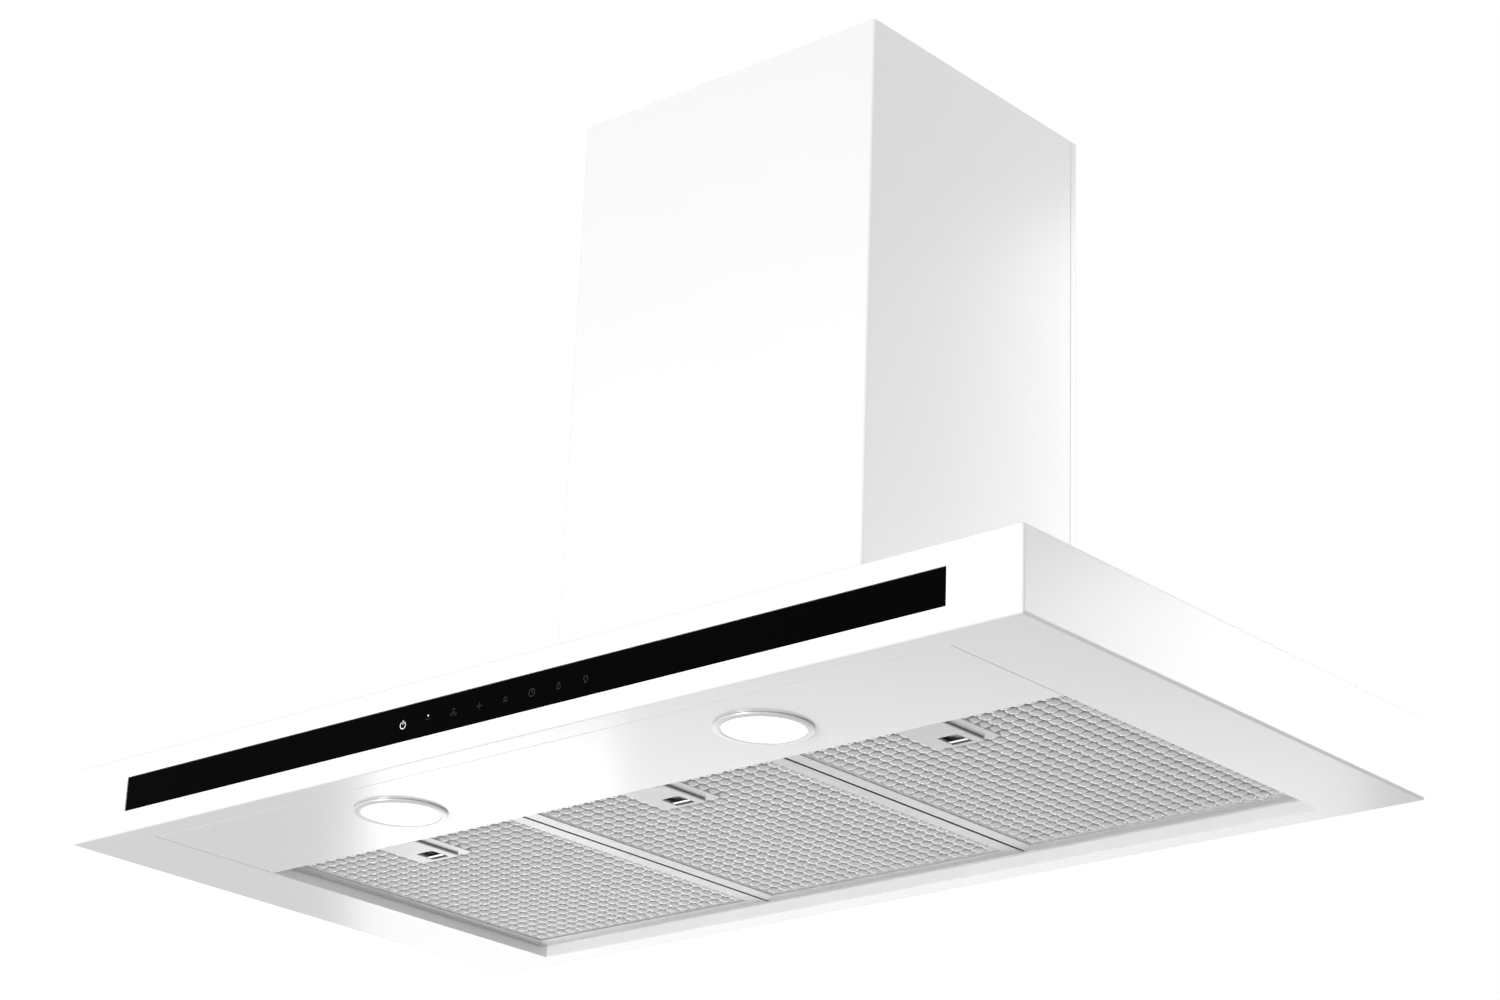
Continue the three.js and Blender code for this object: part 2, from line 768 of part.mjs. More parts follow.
// A double-inlet wheel: blades between two end rings and a middle disc with the hub.
function impeller() {
  const [front, back] = [ductY - impellerHalfDepth, ductY + impellerHalfDepth];
  const ringAt = ([y0, y1]) => {
    const outer = rod("y", impellerRadius, [y0, y1], [0, 0, 0], 32);
    return outer.subtract(rod("y", impellerRadius - bladeRing, [y0 - 1, y1 + 1], [0, 0, 0], 32));
  };
  const pieces = [
    ringAt([front, front + 2]),
    ringAt([back - 2, back]),
    rod("y", impellerRadius - 1, [ductY - 1, ductY + 1], [0, 0, 0], 32),
    rod("y", hubRadius, [ductY - hubHalfDepth, ductY + 1], [0, 0, 0], 24),
  ];
  for (let i = 0; i < bladeCount; i += 1) {
    const blade = new THREE.BoxGeometry(bladeRing - 1, 2 * impellerHalfDepth - 2, bladeThickness);
    blade.rotateY(bladeSlant);
    blade.translate(impellerRadius - bladeRing / 2, ductY, 0);
    blade.rotateY((i / bladeCount) * 2 * Math.PI);
    pieces.push(solidOf(blade));
  }
  const bore = rod("y", shaftRadius + gap, [front, back], [0, 0, 0], 24);
  const wheel = joined(pieces).subtract(bore);
  return wheel.translate([scrollX, 0, scrollZ]);
}

function motorShaft() {
  return rod("y", shaftRadius, [ductY - hubHalfDepth - 4, ductY + shaftLength], [scrollX, 0, scrollZ], 24);
}

function motor() {
  const centre = [scrollX, 0, scrollZ];
  const start = ductY + motorFromDisc;
  const rear = spiderY + spiderThickness + gap;
  const bell = rod("y", motorRadius, [start, rear + 1], centre, 28);
  const cap = rod("y", motorCapRadius, [rear, rear + motorCapLength], centre, 28);
  const bore = rod("y", shaftRadius + gap, [start - 1, ductY + shaftLength + 2], centre, 24);
  return bell.add(cap).subtract(bore);
}

// Outer ring on the scroll, inner ring round the motor, and three arms between them.
function motorSpider() {
  const ring = (outer, inner) => {
    const y = [spiderY, spiderY + spiderThickness];
    return rod("y", outer, y, [0, 0, 0], 28).subtract(rod("y", inner, [y[0] - 1, y[1] + 1], [0, 0, 0], 28));
  };
  const [near, far] = [motorRadius + 5, inletRadius - 1];
  const pieces = [ring(inletRadius + 9, far), ring(near, motorRadius + 0.5)];
  for (let arm = 0; arm < 3; arm += 1) {
    const bar = new THREE.BoxGeometry(far - near + 3, spiderThickness, 9);
    bar.translate((near + far) / 2, spiderY + spiderThickness / 2, 0);
    bar.rotateY(Math.PI / 2 + (arm * 2 * Math.PI) / 3);
    pieces.push(solidOf(bar));
  }
  return joined(pieces).translate([scrollX, 0, scrollZ]);
}

// ---- Outlet with non-return flaps ----

function outletSpigot() {
  const foot = spigotZ + outletWall;
  const profile = [
    [outletInner - seatReach, spigotZ],
    [outletRadius + outletFlange, spigotZ],
    [outletRadius + outletFlange, foot],
    [outletRadius, foot],
    [outletRadius, spigotZ + outletHeight],
    [outletInner, spigotZ + outletHeight],
    [outletInner, foot],
    [outletInner - seatReach, foot],
  ];
  const reach = outletRadius + 2;
  const pinHole = rod("x", flapPinRadius + gap, [-reach, reach], [0, ductY, pinZ], 16);
  return turned(profile, [0, ductY]).subtract(pinHole);
}

// A half-disc on two knuckles round the pin, on the front (-1) or rear (1) side.
function outletFlap(side, knuckleX) {
  const radius = outletInner - flapGap;
  const edge = knuckleRadius + 1;
  const start = Math.asin(edge / radius);
  const shape = new THREE.Shape();
  shape.absarc(0, 0, radius, start, Math.PI - start, false);
  const disc = raised(shape, [-flapThickness / 2, flapThickness / 2], 9);
  const knuckles = [-1, 1].flatMap((end) => {
    const x = [end * knuckleX - knuckleLength / 2, end * knuckleX + knuckleLength / 2];
    return [
      rod("x", knuckleRadius, x, [0, 0, 0], 16),
      block(x, [0, edge + 1], [-flapThickness / 2, flapThickness / 2]),
    ];
  });
  const bore = rod("x", flapPinRadius + gap, [-radius, radius], [0, 0, 0], 16);
  const flap = joined([disc, ...knuckles]).subtract(bore);
  return (side < 0 ? flap.rotate([0, 0, 180]) : flap).translate([0, ductY, pinZ]);
}

function flapPin() {
  return rod("x", flapPinRadius, [-outletRadius - 2, outletRadius + 2], [0, ductY, pinZ], 16);
}

// ---- Electrics ----

const sideMiddle = (halfWidth - sheet + openHalf + sheet) / 2;
const controlBack = -controlBoxFromWall;
const controlFront = controlBack - controlBoxDepth;
const electricsTop = topZ - sheet - gap;

function controlBox() {
  const [x0, x1] = [-sideMiddle - controlBoxWidth / 2, -sideMiddle + controlBoxWidth / 2];
  const [z0, z1] = [electricsTop - controlBoxHeight, electricsTop];
  return cutFrom(block([x0, x1], [controlFront, controlBack], [z0, z1]), [
    block(
      [x0 + boxWall, x1 - boxWall],
      [controlFront + boxWall, controlBack - boxWall],
      [z0 - 1, z1 - boxWall],
    ),
  ]);
}

function controlLid() {
  const x = [-sideMiddle - controlBoxWidth / 2, -sideMiddle + controlBoxWidth / 2];
  const top = electricsTop - controlBoxHeight - gap;
  return block(x, [controlFront, controlBack], [top - lidThickness, top]);
}

function capacitor() {
  const end = controlFront - 12;
  const z = electricsTop - capacitorRadius - 3;
  return rod("y", capacitorRadius, [end - capacitorLength, end], [-sideMiddle, 0, z], 24);
}

function ledDriver() {
  const half = driverWidth / 2;
  return block(
    [sideMiddle - half, sideMiddle + half],
    [lampY - driverDepth / 2, lampY + driverDepth / 2],
    [electricsTop - driverHeight, electricsTop],
  );
}

// The hexagonal nut and threaded neck where the mains cable goes in.
function cableGland() {
  const [x, y] = glandPlace();
  const foot = boxTopZ + gap;
  const bore = rod("z", glandBore, [foot - 20, foot + 20], [x, y, 0], 20);
  const pieces = [
    rod("z", glandThread, [boxTopZ - 6, foot + 1], [x, y, 0], 24),
    rod("z", glandNut, [foot, foot + 5], [x, y, 0], 6),
    rod("z", glandCap, [foot + 4, foot + 14], [x, y, 0], 24),
  ];
  return joined(pieces).subtract(bore);
}

const leadZ = topZ - sheet - leadRadius - 4;

function lampLead([x, y], rowY) {
  const start = bottomZ + lensSeat + lampCanHeight + 2 * gap + 0.7;
  const end = sideMiddle - driverWidth / 2 - gap;
  return lead(
    [
      [x, y, start],
      [x, y, start + 6],
      [x + 10, y, leadZ - 3],
      [x + 30, rowY, leadZ],
      [(x + end) / 2, rowY, leadZ],
      [end - 12, rowY, leadZ],
      [end, rowY, leadZ],
    ],
    22,
  );
}

function touchLead() {
  const start = frontY + glassThickness + touchBoardDepth + 2 * gap;
  const end = -sideMiddle + controlBoxWidth / 2 + gap;
  const y = controlFront + 30;
  return lead(
    [
      [-60, start, 0],
      [-60, start + 8, 0],
      [-68, start + 15, leadZ - 6],
      [-110, start + 17, leadZ],
      [-lampSpacing / 2 - 60, start + 22, leadZ],
      [end + 60, y - 20, leadZ],
      [end + 12, y, leadZ],
      [end, y, leadZ],
    ],
    26,
  );
}

function motorLead() {
  const holeX = -boxHalf + airHoleMargin + 14;
  const holeY = boxBackY - airHoleMargin - 10;
  const end = -sideMiddle + controlBoxWidth / 2 + gap;
  const rear = spiderY + spiderThickness + motorCapLength + 2 * gap;
  return lead(
    [
      [scrollX, rear, scrollZ],
      [scrollX, rear + 8, scrollZ],
      [scrollX - 24, rear + 18, scrollZ - 30],
      [holeX + 14, holeY, topZ + 30],
      [holeX, holeY, topZ + 6],
      [holeX - 12, holeY - 8, leadZ],
      [holeX - 60, controlBack - 20, leadZ],
      [end + 12, controlBack - 40, leadZ],
      [end, controlBack - 40, leadZ],
    ],
    32,
  );
}

// ---- Wall hooks ----

function hookTopZ() {
  return topZ - sheet - hookLip - gap;
}

// A plate on the wall inside its window, with a shelf under the window's top edge and a lip behind it.
function wallHook(x) {
  const half = hookWidth / 2;
  const top = hookTopZ();
  const shelfY = -sheet - 2 * hookSheet - 1; // the canopy's back sheet drops between the plate and the lip
  const hook = joined([
    block([-half, half], [-hookSheet, 0], [top - hookHeight, top]),
    block([-half, half], [shelfY, 0], [top - hookSheet, top]),
    block([-half, half], [shelfY, shelfY + hookSheet], [top - hookSheet, top + hookLip - gap]),
  ]);
  const holeZ = top - hookHeight / 2 - hookSheet;
  const holes = [-1, 1].map((side) => {
    return rod("y", hookHoleRadius, [-hookSheet - 1, 1], [(side * hookHoleSpacing) / 2, 0, holeZ], 20);
  });
  return cutFrom(hook, holes).translate([x, 0, 0]);
}

// ---- Assembly ----

const sides = ["left", "right"];

place("canopy_shell", canopyShell(), whitePaint());
place("lamp_panel", lampPanel(), whitePaint());
place("filter_rear_rail", rearRail(), whitePaint());
place("control_strip_glass", controlStrip(), blackGlass());
place("touch_board", touchBoard(), blackPlastic());

lampPlaces().forEach((at, i) => {
  place("lamp_bezel_" + sides[i], lampBezel(at), chrome());
  place("lamp_lens_" + sides[i], lampLens(at), lampWhite());
  place("lamp_can_" + sides[i], lampCan(at), zincSteel());
  place("lamp_lead_" + sides[i], lampLead(at, at[1] - 20 + 34 * i), cableGrey());
});

const filterNames = ["left", "centre", "right"];
filterPlaces().forEach((x, i) => hood.add(filterAssembly(x, filterNames[i])));

place("lower_chimney_cover", lowerCover(), whitePaint());
place("upper_chimney_cover", upperCover(), whitePaint());
place("ceiling_bracket", ceilingBracket(), zincSteel());

place("blower_box", blowerBox(), zincSteel());
boxScrewPlaces().forEach((at, i) => place("box_screw_" + (i + 1), boxScrew(at), zincSteel()));
place("scroll_front", scrollHalf(-1), greyPlastic());
place("scroll_rear", scrollHalf(1), greyPlastic());
place("impeller", impeller(), blackPlastic());
place("motor_shaft", motorShaft(), zincSteel());
place("motor", motor(), zincSteel());
place("motor_spider", motorSpider(), zincSteel());

place("outlet_spigot", outletSpigot(), greyPlastic());
place("flap_front", outletFlap(-1, 44), blackPlastic());
place("flap_rear", outletFlap(1, 24), blackPlastic());
place("flap_pin", flapPin(), zincSteel());

place("control_box", controlBox(), greyPlastic());
place("control_box_lid", controlLid(), greyPlastic());
place("capacitor", capacitor(), greyPlastic());
place("led_driver", ledDriver(), blackPlastic());
place("cable_gland", cableGland(), blackPlastic());
place("touch_lead", touchLead(), cableGrey());
place("motor_lead", motorLead(), cableGrey());

sides.forEach((side, i) => {
  place("wall_hook_" + side, wallHook(((2 * i - 1) * hookSpacing) / 2), zincSteel());
});

export default hood;
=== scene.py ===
import json
import math

import bmesh
import bpy
from mathutils import Matrix, Vector

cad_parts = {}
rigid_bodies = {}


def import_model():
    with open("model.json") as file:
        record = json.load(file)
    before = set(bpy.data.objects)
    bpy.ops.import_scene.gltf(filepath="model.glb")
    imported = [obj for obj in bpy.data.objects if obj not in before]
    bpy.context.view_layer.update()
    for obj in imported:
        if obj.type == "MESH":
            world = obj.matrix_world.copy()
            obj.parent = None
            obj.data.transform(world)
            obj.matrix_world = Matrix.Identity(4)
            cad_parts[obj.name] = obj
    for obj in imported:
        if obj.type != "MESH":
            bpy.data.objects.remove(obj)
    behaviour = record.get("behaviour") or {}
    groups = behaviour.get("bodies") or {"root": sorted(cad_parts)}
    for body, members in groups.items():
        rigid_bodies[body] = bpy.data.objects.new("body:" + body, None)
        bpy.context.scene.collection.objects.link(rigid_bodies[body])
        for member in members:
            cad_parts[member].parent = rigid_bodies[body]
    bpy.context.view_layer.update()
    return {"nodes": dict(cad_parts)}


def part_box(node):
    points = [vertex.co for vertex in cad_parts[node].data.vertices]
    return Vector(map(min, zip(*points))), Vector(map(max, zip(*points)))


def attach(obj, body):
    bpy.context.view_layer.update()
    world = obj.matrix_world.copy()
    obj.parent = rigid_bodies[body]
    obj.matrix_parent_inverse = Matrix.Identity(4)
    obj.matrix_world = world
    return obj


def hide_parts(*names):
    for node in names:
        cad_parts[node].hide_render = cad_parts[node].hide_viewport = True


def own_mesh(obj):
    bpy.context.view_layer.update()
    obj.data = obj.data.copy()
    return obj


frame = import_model()
print("frame loaded with", len(frame["nodes"]), "nodes")

mm = 0.001
tau = 2 * math.pi
scene = bpy.context.scene

# Camera first: it stands in front of the hood's right end and looks up at the underside.
cameraSettings = {
    "azimuth": 41.4545,  # degrees round from the front
    "elevation": -21.6597,  # below the horizon
    "roll": 2.1481,
    "lens": 86.42,  # on a sensor 36 mm wide
    "place": (1.6845, -2.1217, -0.7796),
}


def makeCamera(s):
    camera = bpy.data.objects.new("camera", bpy.data.cameras.new("camera"))
    scene.collection.objects.link(camera)
    camera.data.lens = s["lens"]
    camera.data.sensor_width = 36
    camera.data.clip_end = 50
    around, above, roll = (math.radians(s[key]) for key in ("azimuth", "elevation", "roll"))
    back = Vector((math.sin(around) * math.cos(above), -math.cos(around) * math.cos(above), math.sin(above)))
    level = (-back).cross(Vector((0, 0, 1))).normalized()
    upright = level.cross(-back)
    right = level * math.cos(roll) + upright * math.sin(roll)
    up = upright * math.cos(roll) - level * math.sin(roll)
    camera.matrix_world = Matrix((right, up, back)).transposed().to_4x4()
    camera.location = s["place"]
    scene.camera = camera


makeCamera(cameraSettings)


class Wire:
    # An output socket that takes part in sums.
    def __init__(self, sheet, socket):
        self.sheet = sheet
        self.socket = socket

    def __add__(self, other):
        return self.sheet.maths("ADD", self, other)

    def __radd__(self, other):
        return self.sheet.maths("ADD", other, self)

    def __sub__(self, other):
        return self.sheet.maths("SUBTRACT", self, other)

    def __rsub__(self, other):
        return self.sheet.maths("SUBTRACT", other, self)

    def __mul__(self, other):
        return self.sheet.maths("MULTIPLY", self, other)

    def __rmul__(self, other):
        return self.sheet.maths("MULTIPLY", other, self)

    def __truediv__(self, other):
        return self.sheet.maths("DIVIDE", self, other)

    def __pow__(self, other):
        return self.sheet.maths("POWER", self, other)

    def __gt__(self, other):
        return self.sheet.maths("GREATER_THAN", self, other)

    def size(self):
        return self.sheet.maths("ABSOLUTE", self)


class Sheet:
    # A node tree; add() makes any node from its type, settings and socket values or links.
    def __init__(self, tree):
        self.tree = tree

    def add(self, kind, settings=None, sockets=None, out=0):
        node = self.tree.nodes.new(kind)
        for name, value in (settings or {}).items():
            if name == "stops":
                self.setStops(node.color_ramp, value)
            else:
                setattr(node, name, value)
        for key, value in (sockets or {}).items():
            self.connect(value, node.inputs[key])
        return Wire(self, node.outputs[out])

    def connect(self, value, socket):
        if isinstance(value, Wire):
            self.tree.links.new(value.socket, socket)
        else:
            socket.default_value = value

    def setStops(self, ramp, stops):
        while len(ramp.elements) < len(stops):
            ramp.elements.new(0.5)
        for element, (position, level) in zip(ramp.elements, stops):
            element.position = position
            element.color = (level, level, level, 1)

    def maths(self, operation, *values):
        return self.add("ShaderNodeMath", {"operation": operation}, dict(enumerate(values)))

    def separated(self, vector):
        first = self.add("ShaderNodeSeparateXYZ", None, {0: vector})
        return [Wire(self, output) for output in first.socket.node.outputs]

    def combined(self, x, y, z):
        return self.add("ShaderNodeCombineXYZ", None, {0: x, 1: y, 2: z})


class Finish(Sheet):
    # A material: constants go straight on the shader, and feed() links what varies.
    def __init__(self, name, **constants):
        self.material = bpy.data.materials.new(name)
        self.material.use_nodes = True
        super().__init__(self.material.node_tree)
        self.shader = self.tree.nodes["Principled BSDF"]
        for label, value in constants.items():
            self.shader.inputs[label.replace("_", " ")].default_value = value
        self.spot = self.add("ShaderNodeTexCoord", out=3)

    def stretched(self, scale):
        return self.add("ShaderNodeMapping", None, {"Vector": self.spot, "Scale": scale})

    def noise(self, scale, detail=3, roughness=0.55, vector=None):
        sockets = {"Vector": vector or self.spot, "Scale": scale, "Detail": detail, "Roughness": roughness}
        return self.add("ShaderNodeTexNoise", None, sockets)

    def ramp(self, value, *stops):
        return self.add("ShaderNodeValToRGB", {"stops": stops}, {0: value})

    def span(self, value, low, high):
        return self.add("ShaderNodeMapRange", None, {"Value": value, "To Min": low, "To Max": high})

    def tint(self, factor, first, second):
        return self.add("ShaderNodeMix", {"data_type": "RGBA"}, {0: factor, 6: first, 7: second}, 2)

    def relief(self, height, distance, strength=1.0, normal=None):
        sockets = {"Height": height, "Distance": distance, "Strength": strength}
        if normal:
            sockets["Normal"] = normal
        return self.add("ShaderNodeBump", None, sockets)

    def feed(self, **links):
        for label, value in links.items():
            self.connect(value, self.shader.inputs[label.replace("_", " ")])
        return self.material


def grey(level, tint=0.0):
    return (level, level, level * (1 + tint), 1)


# Baked enamel: faint orange peel, a breath of colour drift, and wiping marks in the gloss.
enamelSettings = {"light": 0.925, "shade": 0.90, "roughness": (0.17, 0.23), "peel": 260, "peelDepth": 0.00006}


def enamel(name, s):
    m = Finish(name, Coat_Weight=0.6, Coat_Roughness=0.2, Specular_IOR_Level=0.5)
    drift = m.noise(5, 4)
    wiped = m.noise(9, 3, 0.5, m.stretched((1, 1, 0.35)))
    dust = m.ramp(m.noise(900, 2), (0.71, 0.0), (0.76, 1.0))
    peel = m.relief(m.noise(s["peel"], 2), s["peelDepth"], 0.5)
    colour = m.tint(drift, grey(s["light"]), grey(s["shade"], 0.004))
    return m.feed(
        Base_Color=m.tint(dust * 0.12, colour, grey(0.6)),
        Roughness=m.span(wiped, *s["roughness"]) + dust * 0.15,
        Normal=peel,
    )


def blackGlass():
    m = Finish("polishedBlackGlass", Specular_IOR_Level=0.015)
    smear = m.noise(14, 5, 0.65, m.stretched((1, 1, 3)))
    specks = m.ramp(m.noise(1400, 1), (0.74, 0.0), (0.79, 1.0))
    return m.feed(
        Base_Color=m.tint(specks * 0.3, (0.001, 0.001, 0.0013, 1), grey(0.02)),
        Roughness=m.span(smear, 0.03, 0.14) + specks * 0.2,
        Normal=m.relief(m.noise(30, 2), 0.00002, 0.3),
    )


def brushedAluminium(name, light, dark):
    m = Finish(name, Metallic=0.92)
    lines = m.noise(420, 3, 0.6, m.stretched((0.06, 1, 1)))
    drift = m.noise(12, 4)
    scuffs = m.ramp(m.noise(60, 6, 0.7), (0.62, 0.0), (0.72, 1.0))
    return m.feed(
        Base_Color=m.tint(drift, grey(light), grey(dark, 0.01)),
        Roughness=m.span(lines, 0.30, 0.44) + scuffs * 0.1,
        Normal=m.relief(lines, 0.00004, 0.35),
    )


# Pressed aluminium mesh: bright crests, painted shade darkening the pits between the pillows, and a fine
# expanded pattern.
meshSettings = {"strand": 2.2 * mm, "bright": 0.95, "dark": 0.16}


def pressedMesh(s):
    m = Finish("pressedFilterMesh", Metallic=0.62)
    x, y, _ = m.separated(m.spot)
    across = ((x + y) / s["strand"]) * math.pi
    along = ((x - y) / s["strand"]) * math.pi
    wave = m.maths("SINE", across)
    cross = m.maths("SINE", along)
    strands = wave * cross
    depth = m.add("ShaderNodeAttribute", {"attribute_name": "crest"}, out=2)
    # Painted shade: the colour goes towards the dark grey in the low pits between the pillows, read from the
    # stored crest height.
    paintedPitShade = m.ramp(depth + m.noise(240, 3) * 0.24, (0.16, 1.0), (0.66, 0.0))
    grime = m.noise(30, 5, 0.65)
    colour = m.tint(grime, grey(s["bright"]), grey(s["bright"] - 0.11, 0.008))
    return m.feed(
        Base_Color=m.tint(paintedPitShade, colour, grey(s["dark"])),
        Roughness=m.span(grime, 0.20, 0.31) + paintedPitShade * 0.25,
        Normal=m.relief(strands, 0.00022, 0.55),
    )


def brightPlating(name, metallic, roughness):
    m = Finish(name, Metallic=metallic)
    swirl = m.noise(80, 5, 0.6)
    return m.feed(
        Base_Color=m.tint(swirl, grey(0.90, 0.012), grey(0.80, 0.02)),
        Roughness=m.span(swirl, *roughness),
        Normal=m.relief(m.noise(500, 2), 0.00001, 0.2),
    )


# Zinc coating with its crystal spangle.
def zincCoat():
    m = Finish("zincCoat", Metallic=0.85)
    cells = m.add("ShaderNodeTexVoronoi", None, {"Vector": m.spot, "Scale": 130.0}, 1)
    level = m.separated(cells)[0]
    grain = m.noise(700, 3)
    return m.feed(
        Base_Color=m.tint(level, grey(0.50, 0.03), grey(0.67, 0.03)),
        Roughness=m.span(level, 0.34, 0.52) + grain * 0.06,
        Normal=m.relief(level * 0.4 + grain * 0.3, 0.00003, 0.4),
    )


def castMetal():
    m = Finish("castAluminium", Metallic=0.8)
    sand = m.noise(900, 4, 0.7)
    return m.feed(
        Base_Color=m.tint(m.noise(40, 3), grey(0.52), grey(0.44, 0.01)),
        Roughness=m.span(sand, 0.5, 0.68),
        Normal=m.relief(sand, 0.00008, 0.6),
    )


def mouldedPlastic(name, colour, worn):
    m = Finish(name, Specular_IOR_Level=0.45)
    texture = m.noise(1500, 2, 0.6)
    flow = m.noise(16, 3)
    return m.feed(
        Base_Color=m.tint(flow, colour, worn),
        Roughness=m.span(flow, 0.42, 0.56) + texture * 0.06,
        Normal=m.relief(texture, 0.00005, 0.5),
    )


def leadSheath():
    m = Finish("leadSheath", Specular_IOR_Level=0.35)
    drawn = m.noise(300, 3, 0.6, m.stretched((0.2, 1, 1)))
    return m.feed(
        Base_Color=m.tint(drawn, (0.26, 0.27, 0.28, 1), (0.34, 0.35, 0.36, 1)),
        Roughness=m.span(drawn, 0.5, 0.66),
        Normal=m.relief(drawn, 0.00004, 0.4),
    )


# Frosted lens, lit from behind: brightest in its middle, with a soft prismatic grain.
def litLens(middleX, middleY, radius):
    m = Finish("litLens" + ("Right" if middleX > 0 else "Left"), Emission_Strength=1.6)
    x, y, _ = m.separated(m.spot)
    far = ((x - middleX) ** 2 + (y - middleY) ** 2) ** 0.5 / radius
    glow = m.ramp(far, (0.0, 1.0), (0.72, 0.92), (1.0, 0.62))
    grain = m.noise(900, 2)
    return m.feed(
        Base_Color=m.tint(grain, grey(0.95), grey(0.88)),
        Emission_Color=m.tint(glow, (0.80, 0.80, 0.78, 1), (1.0, 0.99, 0.97, 1)),
        Roughness=m.span(grain, 0.3, 0.5),
        Normal=m.relief(grain, 0.00004, 0.4),
    )


def touchInk(name, strength, colour):
    m = Finish(name, Emission_Strength=strength)
    printed = m.noise(2200, 2)
    return m.feed(
        Base_Color=m.tint(printed, colour, tuple(c * 0.8 for c in colour[:3]) + (1,)),
        Emission_Color=m.tint(printed, colour, tuple(c * 0.85 for c in colour[:3]) + (1,)),
        Roughness=m.span(printed, 0.3, 0.5),
    )


whiteEnamel = enamel("whiteEnamel", enamelSettings)
glass = blackGlass()
aluminium = brushedAluminium("satinAluminium", 0.66, 0.58)
meshMetal = pressedMesh(meshSettings)
plating = brightPlating("brightPlating", 1.0, (0.10, 0.20))
satinPlating = brightPlating("satinPlating", 0.35, (0.26, 0.36))
zinc = zincCoat()
castAluminium = castMetal()
greyPlastic = mouldedPlastic("greyPlastic", (0.10, 0.112, 0.122, 1), (0.13, 0.14, 0.15, 1))
blackPlastic = mouldedPlastic("blackPlastic", (0.012, 0.012, 0.013, 1), (0.022, 0.022, 0.024, 1))
sheath = leadSheath()
print("materials made")


def meshOf(name, bm):
    bmesh.ops.remove_doubles(bm, verts=bm.verts, dist=1e-6)
    bmesh.ops.recalc_face_normals(bm, faces=bm.faces)
    mesh = bpy.data.meshes.new(name)
    bm.to_mesh(mesh)
    bm.free()
    return mesh


def addPiece(name, mesh, material, nodes=(), body="fixed_hood", bevel=0.0, crease=35, weighted=True):
    piece = bpy.data.objects.new(name, mesh)
    scene.collection.objects.link(piece)
    if not mesh.materials:
        mesh.materials.append(material)
    mesh.shade_smooth()
    mesh.set_sharp_from_angle(angle=math.radians(crease))
    if bevel:
        rounding = piece.modifiers.new("rounding", "BEVEL")
        rounding.width = bevel
        rounding.segments = 3
        rounding.limit_method = "ANGLE"
        rounding.angle_limit = math.radians(crease)
        rounding.use_clamp_overlap = True
    if weighted:
        shading = piece.modifiers.new("shading", "WEIGHTED_NORMAL")
        shading.keep_sharp = True
    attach(piece, body)
    if nodes:
        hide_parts(*nodes)
    return piece


def blockInto(bm, low, high, radius=0.0, segments=4):
    made = bmesh.ops.create_cube(bm, size=1)["verts"]
    low, high = Vector(low), Vector(high)
    for v in made:
        v.co = Vector((low[i] + high[i]) / 2 + v.co[i] * (high[i] - low[i]) for i in range(3))
    if radius:
        edges = list({e for v in made for e in v.link_edges})
        bmesh.ops.bevel(bm, geom=edges, offset=radius, segments=segments, profile=0.5, affect="EDGES")
    return bm


def blockMesh(low, high, radius=0.0, segments=4):
    return meshOf("block", blockInto(bmesh.new(), low, high, radius, segments))


# Quads and poles between the rings of a profile of (radius, height) turned about an axis.
def turnInto(bm, profile, centre, axis="Z", segments=96, closed=True):
    def spot(r, h, angle):
        a, b = r * math.cos(angle), r * math.sin(angle)
        offset = {"X": (h, a, b), "Y": (a, h, b), "Z": (a, b, h)}[axis]
        return Vector(centre) + Vector(offset)

    rings = []
    for r, h in profile:
        count = segments if r > 1e-9 else 1
        rings.append([bm.verts.new(spot(r, h, tau * i / count)) for i in range(count)])
    pairs = list(zip(rings, rings[1:] + rings[:1] if closed else rings[1:]))
    for first, second in pairs:
        for i in range(segments):
            j = (i + 1) % segments
            corners = [
                first[i % len(first)], first[j % len(first)], second[j % len(second)], second[i % len(second)]
            ]
            kept = [v for n, v in enumerate(corners) if v not in corners[:n]]
            if len(kept) > 2:
                bm.faces.new(kept)
    return bm


def turnedMesh(profile, centre, axis="Z", segments=96):
    closed = profile[0][0] > 0 or profile[-1][0] > 0
    return meshOf("turned", turnInto(bmesh.new(), profile, centre, axis, segments, closed))


# An outline given in two axes, drawn out along the third between two values.
def drawnInto(bm, outline, span, axis="Z"):
    def spot(a, b, h):
        return {"X": (h, a, b), "Y": (a, h, b), "Z": (a, b, h)}[axis]

    near, far = ([bm.verts.new(spot(a, b, h)) for a, b in outline] for h in span)
    bm.faces.new(near)
    bm.faces.new(far[::-1])
    for i in range(len(outline)):
        j = (i + 1) % len(outline)
        bm.faces.new((near[i], near[j], far[j], far[i]))
    return bm


def drawnMesh(outline, span, axis="Z"):
    return meshOf("drawn", drawnInto(bmesh.new(), outline, span, axis))


# Rounds the corners of a path of points by a radius, in a few steps.
def rounded(points, radius, steps=6, closed=False):
    points = [Vector(p) for p in points]
    out = []
    for i, p in enumerate(points):
        if not closed and i in (0, len(points) - 1):
            out.append(p)
            continue
        before = points[i - 1] - p
        after = points[(i + 1) % len(points)] - p
        turn = before.angle(after)
        reach = min(radius / math.tan(turn / 2), before.length * 0.49, after.length * 0.49)
        start, end = p + before.normalized() * reach, p + after.normalized() * reach
        inner = reach * math.tan(turn / 2)
        middle = p + (before.normalized() + after.normalized()).normalized() * (inner / math.sin(turn / 2))
        a, b = start - middle, end - middle
        sweep = a.angle(b)
        for n in range(steps + 1):
            share = n / steps
            weight = math.sin(sweep * (1 - share)) / math.sin(sweep), math.sin(sweep * share) / math.sin(
                sweep
            )
            out.append(middle + a * weight[0] + b * weight[1])
    return out


